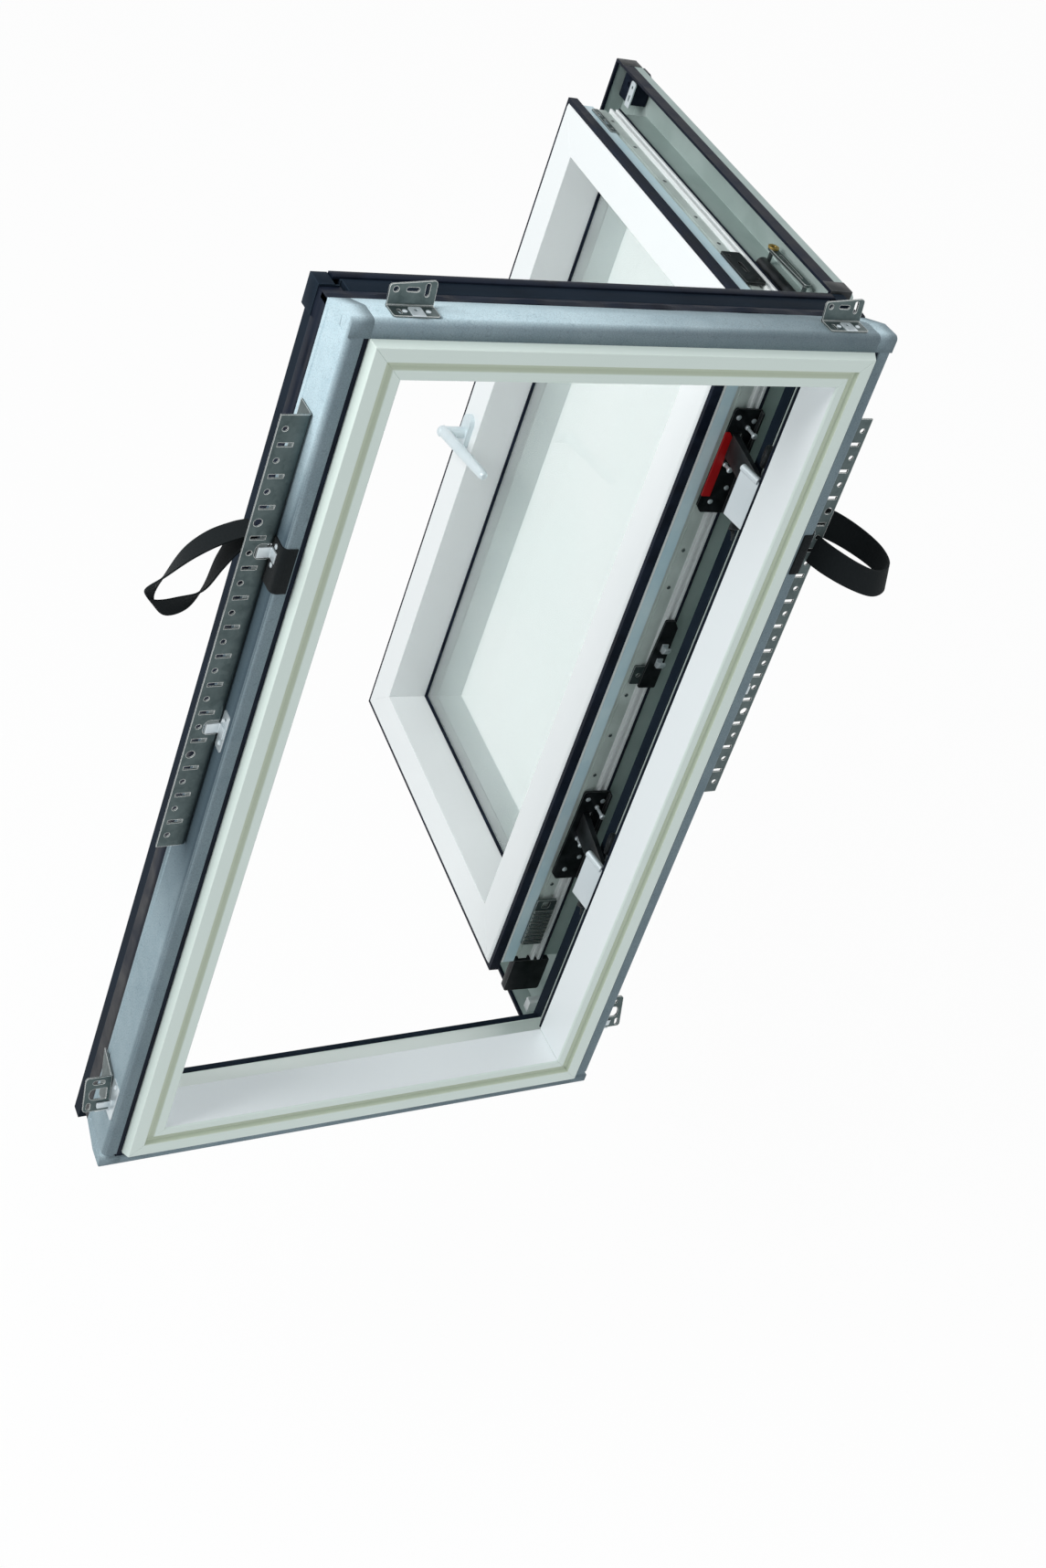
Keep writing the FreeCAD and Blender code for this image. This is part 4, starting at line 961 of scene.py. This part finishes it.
# %% Cover
COVER_RECT = (-279.8 - 49.0, 279.8 + 45.5, -544.8 - 106.0, 544.8 + 58.0)
COVER_LOOPS = (levels(COVER_RECT, (0, 84), (0, 115), (15, 132))
               + levels(SASH_RECT, (57, 132), (57, 90), (55, 90), (55, 130), (6, 130), (6, 84), (4, 84),
                        (4, 130))
               + levels(COVER_RECT, (16.2, 130), (2, 115), (2, 84)))
for side, word in SASH_MEMBERS.items():
    add_piece("cover_shell_" + word, swept_side(side, COVER_LOOPS, SASH), "cover_metal", ["cover_" + word],
              rim=0.5)
CORNER_CAP = [(0.8, 0.8), (0.8, -22), (0, -22), (0, 0), (-22, 0), (-22, 0.8)]
corner_parts = []
for hand, edge_x in ((-1, COVER_RECT[0]), (1, COVER_RECT[1])):
    for end, edge_z in ((-1, COVER_RECT[2]), (1, COVER_RECT[3])):
        outline = [(edge_x + hand * x, edge_z + end * z) for x, z in CORNER_CAP]
        corner_parts.append(sash_sheet(outline, 31, at_y(175)))
add_piece("cover_corner_caps", joined(*corner_parts), "black_steel", rim=0.2)
cover_edge = levels(COVER_RECT, (-0.5, 83), (3.2, 83), (3.2, 88), (2, 88), (2, 84), (0, 84), (0, 101),
                    (-0.5, 101))
add_piece("cover_edge_seal", swept_ring(cover_edge, SASH), "black_rubber")
leg_seal = levels(SASH_RECT, (-1.5, 85), (4, 84.2), (4, 88), (-0.5, 88))
add_piece("cover_leg_seal", swept_ring(leg_seal, SASH), "black_rubber")
block = rounded([(-323, 550, 3), (-286, 550, 3), (-286, 590, 6), (-300, 597, 3), (-323, 597, 3)])
add_piece("cover_corner_block", sash_sheet(block, 26, at_y(188), round_hole(-306, 575, 4)), "black_rubber",
          rim=0.8)
angle_plate = rounded([(-292, 548.8, 1), (-278, 548.8, 1), (-278, 588, 4), (-292, 588, 4)])
angle_holes = round_hole(-285, 579, 2.4), slot_hole(-285, 562, 10, 4, upright=True)
add_piece("cover_angle_plate", sash_sheet(angle_plate, 2, at_y(159), *angle_holes), "satin_silver", rim=0.3)
keeper_holes = slot_hole(-250, 99, 12, 4), slot_hole(-226, 99, 16, 4), round_hole(-205, 99, 2)
add_piece("top_keeper", sash_sheet(panel(-268, -196, 94, 104, 2), 2.4, at_z(544.2), *keeper_holes), "steel",
          rim=0.3)
print("cover", COVER_RECT)

# %% [markdown]
# On the sash's upper edge sits a flat stay plate over the channel and, beside it, a half-round tube and a
# slotted arm with a brass ring. All are parts of the gear that holds the sash open.

# %% Stay
SASH_TOP = 544.8
ARM_LEVEL = 559.0
ARM_PINS = ((149, 172), (236, 175))
stay_holes = slot_hole(178.8, 117, 26, 6), round_hole(150, 110, 2.4), round_hole(207, 124, 2.4)
stay = sash_sheet(panel(139.8, 217.8, 102, 132, 4), 3, at_z(SASH_TOP), *stay_holes)
add_piece("stay_plate", stay, "black_steel", rim=0.4)
half_round = rounded([(153, 540.8), (171, 540.8), (171, 549.8, 8.5), (153, 549.8, 8.5)], 7)
add_piece("stay_tube", sash_sheet(half_round, 100, at_x(149.8)), "black_steel", rim=0.4)
arm_outline = rounded([(142, 166, 6), (242, 170, 4), (242, 180, 4), (142, 178, 6)])
arm_parts = [sash_sheet(arm_outline, 4, at_z(ARM_LEVEL), slot_hole(196, 173.5, 60, 3))]
for x, y in ARM_PINS:
    pin_foot = plane_at((x, y, ARM_LEVEL - 18), X, Y)
    arm_parts.append(turned([(0, 0), (3, 0), (3, 19), (0, 19)], pin_foot, SASH))
add_piece("stay_arm", joined(*arm_parts), "steel", rim=0.5)
ring = turned([(3.6, 0), (7.4, 0), (7.4, 2.6), (3.6, 2.6), (3.6, 0)],
              plane_at((*ARM_PINS[0], ARM_LEVEL + 4), X, Y), SASH)
add_piece("stay_collar", ring, "satin_silver", finish="brass", rim=0.3)
print("stay arm at", ARM_LEVEL)

# %% [markdown]
# The handle is turned and moulded: a rounded rose, a round neck, and a lever that thins to its tip.

# %% Handle
HANDLE_X = -251.3
HANDLE_TILT = math.radians(10)
rose = sash_sheet(panel(HANDLE_X - 13, HANDLE_X + 13, -31, 31, 12, 8), 8, at_y(SASH_FACE_AT))
add_piece("handle_plate", rose, "satin_silver", ["handle_rose"], finish="handle_silver", rim=1.6)
neck = turned([(0, 7), (9.6, 7), (9.0, 10), (8.6, 34), (8.6, 42), (7.6, 47), (5, 49), (0, 49)],
              plane_at((HANDLE_X, SASH_FACE_AT, 0), X, Z), SASH)
grip_side = (-math.sin(HANDLE_TILT), 0, math.cos(HANDLE_TILT))
grip_profile = [(0, -9), (6, -8.4), (8, -6), (8.5, 0), (8.4, 40), (7.9, 100), (7.2, 150), (6.4, 155.5),
                (4, 158), (0, 158.6)]
grip = turned(grip_profile, plane_at((HANDLE_X, 20, 0), Y, grip_side), SASH)
add_piece("handle_grip", joined(neck, grip), "satin_silver", ["handle_lever"], finish="handle_silver")
print("handle tilted", round(math.degrees(HANDLE_TILT)), "degrees")

# %% [markdown]
# Each hinge has a black plate on the sash with a cut corner and a lip, an arm from the sloping jamb to
# that plate, a round cap and a silver flap rolled at its top. The slope and the face of the open plate
# are worked out once, so that every piece of the hinge meets both.

# %% Places on the jamb and on the open sash
SLOPE_START = Vector((283.8, 60.5))
SLOPE_ALONG = Vector((35.2, 46.1)).normalized()
SLOPE_NORMAL = Vector((-SLOPE_ALONG.y, SLOPE_ALONG.x))
STILE_X = 279.8
HINGES = {"upper": 323.8, "lower": -304.8}


def on_slope(inward, lift=0.3):
    """Point on the rear slope of the hinge jamb, a distance in from the frame's outer edge."""
    return SLOPE_START + SLOPE_ALONG * ((41.2 - inward) / SLOPE_ALONG.x) + SLOPE_NORMAL * lift


def on_plate(depth, lift=3.3):
    """Point of the open hinge plate, in the coordinates of the closed frame."""
    open_place = FIXED.inverted() @ SASH @ Vector((STILE_X + lift, depth, 0.0))
    return Vector(open_place[:2])


# %% Hinge plates, arms and flaps
RISE = Vector((-0.139, 0.990))
for word, level in HINGES.items():
    low, high = level - 79, level + 79
    outline = rounded([(107, low + 10, 4), (115, low, 4), (150, low, 2), (150, high, 2), (109, high, 5)])
    plate = sash_sheet(outline, 3, at_x(STILE_X), slot_hole(131, level + 34, 16, 6, upright=True))
    lip = sash_sheet(panel(147, 150, low + 2, high - 2), 9, at_x(STILE_X))
    add_piece("hinge_sheet_" + word, joined(plate, lip), "black_steel", ["hinge_plate_" + word], rim=0.5)
    arm = cut_sheet([on_slope(35), on_slope(27), on_plate(128), on_plate(118)], 34, at_z(level + 8))
    seat = on_slope(19)
    cap = turned([(0, 0), (15, 0), (15, -5), (13.5, -7.4), (10, -8), (9, -6.8), (0, -6.8)],
                 plane_at((*seat, level + 64), (*SLOPE_ALONG, 0), Z))
    add_piece("hinge_link_" + word, joined(arm, cap), "black_steel", ["hinge_arm_" + word], rim=0.5)
    root, run = on_slope(40.7), SLOPE_ALONG * 3.2
    flap = cut_sheet([root, root + run, root + run + RISE * 38, root + RISE * 38], 70, at_z(level - 26))
    roll = turned([(0, 0), (4.2, 0), (5, 0.8), (5, 32), (4.2, 33), (0, 33)],
                  plane_at((*(root + run / 2 + RISE * 4), level + 44), Z, (RISE.y, -RISE.x, 0)))
    add_piece("hinge_flap_" + word, joined(flap, roll), "satin_silver", rim=0.4)
MARKER = [(106.5, 271, 1), (119, 271, 1), (119, 360, 1), (112.5, 368, 1), (106.5, 368, 1)]
add_piece("hinge_slider", sash_sheet(rounded(MARKER), 2.2, at_x(STILE_X + 3)), "red_plastic",
          ["hinge_marker"], rim=0.5)
print("hinges at", HINGES)

# %% Pins and hooks of the hinges
HOOK = [((-1, 2, -30), (0, 0.3, 1)), ((-7, 9, -34), (0, 0.3, 1)), ((-3, 17, -41), (0.2, 0.1, 1)),
        ((5, 20, -48), (0.2, 0, 1)), ((2, 13, -55), (0, 0, 1))]
for word, level in HINGES.items():
    parts = []
    for depth, step, reach in ((136, 52, 22), (124, -4, 16)):
        profile = [(0, 0), (3.4, 0), (3.4, 2), (2.2, 3), (2.2, reach - 5), (3.6, reach - 4),
                   (4.1, reach - 1.6), (3.0, reach), (0, reach + 0.6)]
        place = plane_at((*on_plate(depth, 3), level + step), Z, (-1, 0.07, 0))
        parts.append(turned(profile, place, steps=16))
    add_piece("hinge_pins_" + word, joined(*parts), "satin_silver")
    tip = on_slope(30)
    hook_path = [((tip.x + x, tip.y + y, level + z), across) for (x, y, z), across in HOOK]
    thicken(add_piece("hinge_hook_" + word, ribbon(hook_path, 9), "black_steel"), "Hook thickness", 0.0018)
print("pins and hooks on", ", ".join(HINGES))

# %% [markdown]
# Half way up the hinge stile a catch holds the lock bar, with two hooks and a grey striker. At the foot
# of the stile the corner drive carries the lock round the corner: a ribbed bar and a body under the edge.

# %% Middle catch and corner drive
CATCH = 13.0
DRIVE_FOOT = -544.8
RIBS = 9
outline = rounded([(126, CATCH - 56, 2), (152, CATCH - 56, 2), (152, CATCH + 44, 2), (144, CATCH + 56, 3),
                   (130, CATCH + 56, 2)])
add_piece("catch_plate", sash_sheet(outline, 3, at_x(STILE_X)), "black_steel", ["middle_catch"], rim=0.5)
CLAW = [(2, -6), (10, -6, 3), (15, 3, 2), (10.5, 6, 2), (9, 1, 1.5), (5, 1, 1.5), (5, 6), (2, 6)]
hooks = [sash_sheet(rounded([(STILE_X + x, z + step + CATCH, *more) for x, z, *more in CLAW], 3), 9,
                    at_y(147)) for step in (-12, 12)]
add_piece("catch_hooks", joined(*hooks), "satin_silver", rim=0.4)
striker = sash_sheet(panel(112, 130, CATCH - 52, CATCH - 22, 2), 4, at_x(STILE_X - 4),
                     round_hole(121, CATCH - 37, 3))
add_piece("catch_striker", striker, "steel", rim=0.5)
drive = [sash_sheet(panel(101, 132, DRIVE_FOOT + 36, DRIVE_FOOT + 120, 2), 4, at_x(STILE_X),
                    panel(110, 122, DRIVE_FOOT + 106, DRIVE_FOOT + 117, 2))]
for k in range(RIBS):
    foot = DRIVE_FOOT + 38 + k * 7.4
    drive.append(sash_sheet(panel(102, 131, foot, foot + 3.6), 1.6, at_x(STILE_X + 4)))
add_piece("drive_bar", joined(*drive), "steel", ["corner_drive"], rim=0.3)
outline = rounded([(104, DRIVE_FOOT - 58, 4), (160, DRIVE_FOOT - 58, 4), (160, DRIVE_FOOT, 2),
                   (104, DRIVE_FOOT, 2)])
add_piece("drive_body", sash_sheet(outline, 11, at_x(STILE_X - 11)), "black_steel", rim=0.6)
guide = sash_sheet(panel(156, 180, -658, -639, 2), 12, plane_at((STILE_X - 10, 0, 8), Y, Z))
add_piece("drive_guide", guide, "white_plastic", finish="sash_plastic", rim=0.8)
print(RIBS, "ribs on the drive bar")

# %% [markdown]
# Screws, rivets and stitches repeat, so Geometry Nodes place them: points carry the way each one faces,
# and the tree turns one head along it, makes the copies real and gives them their finish. The result is
# baked to a plain mesh, because the export would drop the copies.

# %% Tree that sets heads on points
def head_tree():
    """Domed heads on points; the attribute `facing` says which way each one faces."""
    tree = bpy.data.node_groups.new("Heads on points", "GeometryNodeTree")
    tree.interface.new_socket("Geometry", in_out="INPUT", socket_type="NodeSocketGeometry")
    for socket, kind in (("Radius", "Float"), ("Height", "Float"), ("Finish", "Material")):
        tree.interface.new_socket(socket, in_out="INPUT", socket_type="NodeSocket" + kind)
    tree.interface.new_socket("Geometry", in_out="OUTPUT", socket_type="NodeSocketGeometry")
    given = tree.nodes.new("NodeGroupInput").outputs
    facing = add(tree, "GeometryNodeInputNamedAttribute", {"Name": "facing"}, data_type="FLOAT_VECTOR")
    turn = add(tree, "FunctionNodeAlignRotationToVector", {"Vector": facing.outputs[0]}, axis="Z").outputs[0]
    foot = add(tree, "GeometryNodeMeshCylinder", {"Vertices": 14, "Radius": given["Radius"],
                                                  "Depth": given["Height"]}).outputs["Mesh"]
    top_radius = times(tree, given["Radius"], 0.45)
    rise = times(tree, given["Height"], 0.6)
    dome = add(tree, "GeometryNodeMeshCone", {"Vertices": 14, "Radius Top": top_radius, "Depth": rise,
                                              "Radius Bottom": given["Radius"]}).outputs["Mesh"]
    half = times(tree, given["Height"], 0.5)
    lift = add(tree, "ShaderNodeCombineXYZ", {"Z": half}).outputs[0]
    raised = add(tree, "GeometryNodeTransform", {"Geometry": dome, "Translation": lift}).outputs[0]
    head = add(tree, "GeometryNodeJoinGeometry").inputs[0]
    for part in (raised, foot):
        tree.links.new(part, head)
    whole = head.node.outputs[0]
    copies = add(tree, "GeometryNodeInstanceOnPoints", {"Points": given["Geometry"], "Instance": whole,
                                                        "Rotation": turn}).outputs[0]
    real = add(tree, "GeometryNodeRealizeInstances", {"Geometry": copies}).outputs[0]
    dressed = add(tree, "GeometryNodeSetMaterial", {"Geometry": real, "Material": given["Finish"]})
    tree.links.new(dressed.outputs[0], tree.nodes.new("NodeGroupOutput").inputs[0])
    return tree


HEADS = head_tree()


def add_heads(name, spots, radius, height, slot, carrier=FIXED):
    """Bakes one head per (point, direction) spot, both in window millimetres."""
    points = bpy.data.meshes.new(name + "_points")
    points.from_pydata([carrier @ Vector(place) for place, _ in spots], [], [])
    facing = points.attributes.new("facing", "FLOAT_VECTOR", "POINT")
    turn = carrier.to_3x3().normalized()
    for item, (_, way) in zip(facing.data, spots):
        item.vector = (turn @ Vector(way)).normalized()
    carrier_object = new_object(name + "_points", points)
    nodes_on = carrier_object.modifiers.new("Heads", "NODES")
    nodes_on.node_group = HEADS
    sockets = {item.name: item.identifier for item in HEADS.interface.items_tree if item.in_out == "INPUT"}
    nodes_on[sockets["Radius"]] = radius * MM
    nodes_on[sockets["Height"]] = height * MM
    nodes_on[sockets["Finish"]] = FINISHES[slot]
    view = bpy.context.evaluated_depsgraph_get()
    mesh = bpy.data.meshes.new_from_object(carrier_object.evaluated_get(view))
    bpy.data.objects.remove(carrier_object)
    print(name, len(spots), "heads,", len(mesh.polygons), "faces")
    return add_piece(name, mesh, slot)


# %% Screws and rivets
UPPER_CLIP, LOWER_CLIP = RAIL_MIDDLE + CLIP_STEP, RAIL_MIDDLE - CLIP_STEP
WALL_SCREWS = [(PATCH_SHEET, 25, UPPER_CLIP - 12), (PATCH_SHEET, 25, UPPER_CLIP + 12),
               (PLATE_SHEET, 25, LOWER_CLIP - 16), (PLATE_SHEET, 26, LOW_LEVEL + 15),
               (PLATE_SHEET, 26, LOW_LEVEL - 10)]
for side, hand in HANDS.items():
    spots = [((hand * (SIDE_WALL + lift), depth, level), (hand, 0, 0)) for lift, depth, level in WALL_SCREWS]
    add_heads("wall_screws_" + side, spots, 3.2, 1.6, "satin_silver")
top_spots = [((centre + shift, 26, END_WALL + BRACKET_SHEET), Z)
             for centre in UPPER_BRACKETS.values() for shift in (-11, 16)]
add_heads("bracket_screws", top_spots, 3.0, 1.6, "satin_silver")
PLATE_RIVETS = ((142, 62), (118, 66), (142, 6), (140, -40), (124, -62))
plate_spots = [((STILE_X + 3, depth, level + step), X)
               for level in HINGES.values() for depth, step in PLATE_RIVETS]
add_heads("plate_rivets", plate_spots, 3.6, 1.4, "satin_silver", SASH)
bar_spots = [((STILE_X - 2.4, 117, level), X) for level in (500, 440, 180, 120, -60, -130, -200, -400)]
add_heads("lock_bar_rivets", bar_spots, 3.0, 0.8, "steel", SASH)
bar_top_spots = [((x, 117, SASH_TOP - 2.4), Z) for x in (-240, -160, -60, 40, 110)]
add_heads("top_bar_rivets", bar_top_spots, 3.0, 0.8, "steel", SASH)
stitches = [((hand * 352.1, depth, PATCH_LEVEL - 26 + k * 4.7), (hand, 0, 0))
            for hand in (-1, 1) for k in range(12) for depth in (36.5, 42.5)]
add_heads("patch_stitches", stitches, 0.7, 0.6, "satin_silver")

# %% [markdown]
# The record names a slot for every node. The nodes keep their meshes, and only their material changes.
# The sash's nodes take the second vinyl, which is whiter.

# %% Dress the nodes
def finish_of(node, slot):
    if slot == "white_plastic" and node.startswith("sash_"):
        return FINISHES["sash_plastic"]
    return FINISHES[slot]


for entry in frame["record"]["subparts"]:
    mesh = nodes[entry["node"]].data
    mesh.materials.clear()
    mesh.materials.append(finish_of(entry["node"], entry["material_slot"]))

# %% [markdown]
# The camera stands up and to the left of the window, on the room side. Its place, turn and shift were
# fitted to the corners of the frame in the photograph.

# %% Camera
camera_data = bpy.data.cameras.new("Camera")
camera_data.sensor_fit = "VERTICAL"
camera_data.sensor_height = 36
camera_data.lens = 48.81
camera_data.shift_y = -0.3548
camera = new_object("Camera", camera_data)
camera.location = (-0.9038, -1.6600, 1.4034)
camera.rotation_euler = (math.radians(65.03), math.radians(-16.69), math.radians(-25.76))
bpy.context.scene.camera = camera
print("camera", tuple(round(value, 3) for value in camera.location))

# %% [markdown]
# The light is that of a bright studio: a large soft panel up on the left, a weaker one in front, and
# an even world. The floor and the world read as white only to the camera and in reflections, so the
# background is white without any more light on the window.

# %% Light and floor
def soft_panel(name, place, aim, size, power):
    lamp = bpy.data.lights.new(name, "AREA")
    lamp.shape = "DISK"
    lamp.size = size
    lamp.energy = power
    holder = new_object(name, lamp)
    holder.location = place
    holder.rotation_euler = (Vector(aim) - Vector(place)).to_track_quat("-Z", "Y").to_euler()


soft_panel("KeyPanel", (-2.3, 0.1, 1.9), FRAME_MIDDLE, 1.8, 82)
soft_panel("FrontPanel", (0.9, -3.0, 0.9), FRAME_MIDDLE, 2.2, 14)


def seen_directly(tree):
    """1 for rays from the camera, and for those that metal or glass sends on."""
    path = add(tree, "ShaderNodeLightPath").outputs
    seen = sum_of(tree, "MAXIMUM", path["Is Camera Ray"], path["Is Glossy Ray"])
    return sum_of(tree, "MAXIMUM", seen, path["Is Transmission Ray"])


world = bpy.data.worlds.new("Studio")
world.use_nodes = True
bpy.context.scene.world = world
studio = world.node_tree
room_light = studio.nodes["Background"]
room_light.inputs["Color"].default_value = (0.94, 0.97, 1.0, 1.0)
room_light.inputs["Strength"].default_value = 0.5
white = add(studio, "ShaderNodeBackground", {"Color": (1.0, 1.0, 1.0, 1.0), "Strength": 1.0})
chosen = add(studio, "ShaderNodeMixShader", {0: seen_directly(studio), 1: room_light.outputs[0],
                                             2: white.outputs[0]})
studio.links.new(chosen.outputs[0], studio.nodes["World Output"].inputs["Surface"])

FLOOR_DROP = 0.45
FLOOR_HALF = 60.0
floor_mesh = bpy.data.meshes.new("Floor")
floor_level = model_box[0][2] - FLOOR_DROP
floor_outline = panel(-FLOOR_HALF, FLOOR_HALF, -FLOOR_HALF, FLOOR_HALF)
floor_mesh.from_pydata([(x, y, floor_level) for x, y in floor_outline], [], [(0, 1, 2, 3)])
floor = new_object("Floor", floor_mesh)
paper = bpy.data.materials.new("PalePaper")
paper.use_nodes = True
sheet = paper.node_tree
matt = add(sheet, "ShaderNodeBsdfDiffuse", {"Color": (0.86, 0.87, 0.87, 1.0)})
glow = add(sheet, "ShaderNodeEmission", {"Color": (1.0, 1.0, 1.0, 1.0), "Strength": 1.0})
share = times(sheet, seen_directly(sheet), 0.96)
mixed = add(sheet, "ShaderNodeMixShader", {0: share, 1: matt.outputs[0], 2: glow.outputs[0]})
sheet.links.new(mixed.outputs[0], sheet.nodes["Material Output"].inputs["Surface"])
floor_mesh.materials.append(paper)
print("floor at", round(floor_level, 3))

# %% Finish
bpy.context.scene.view_settings.view_transform = "Standard"
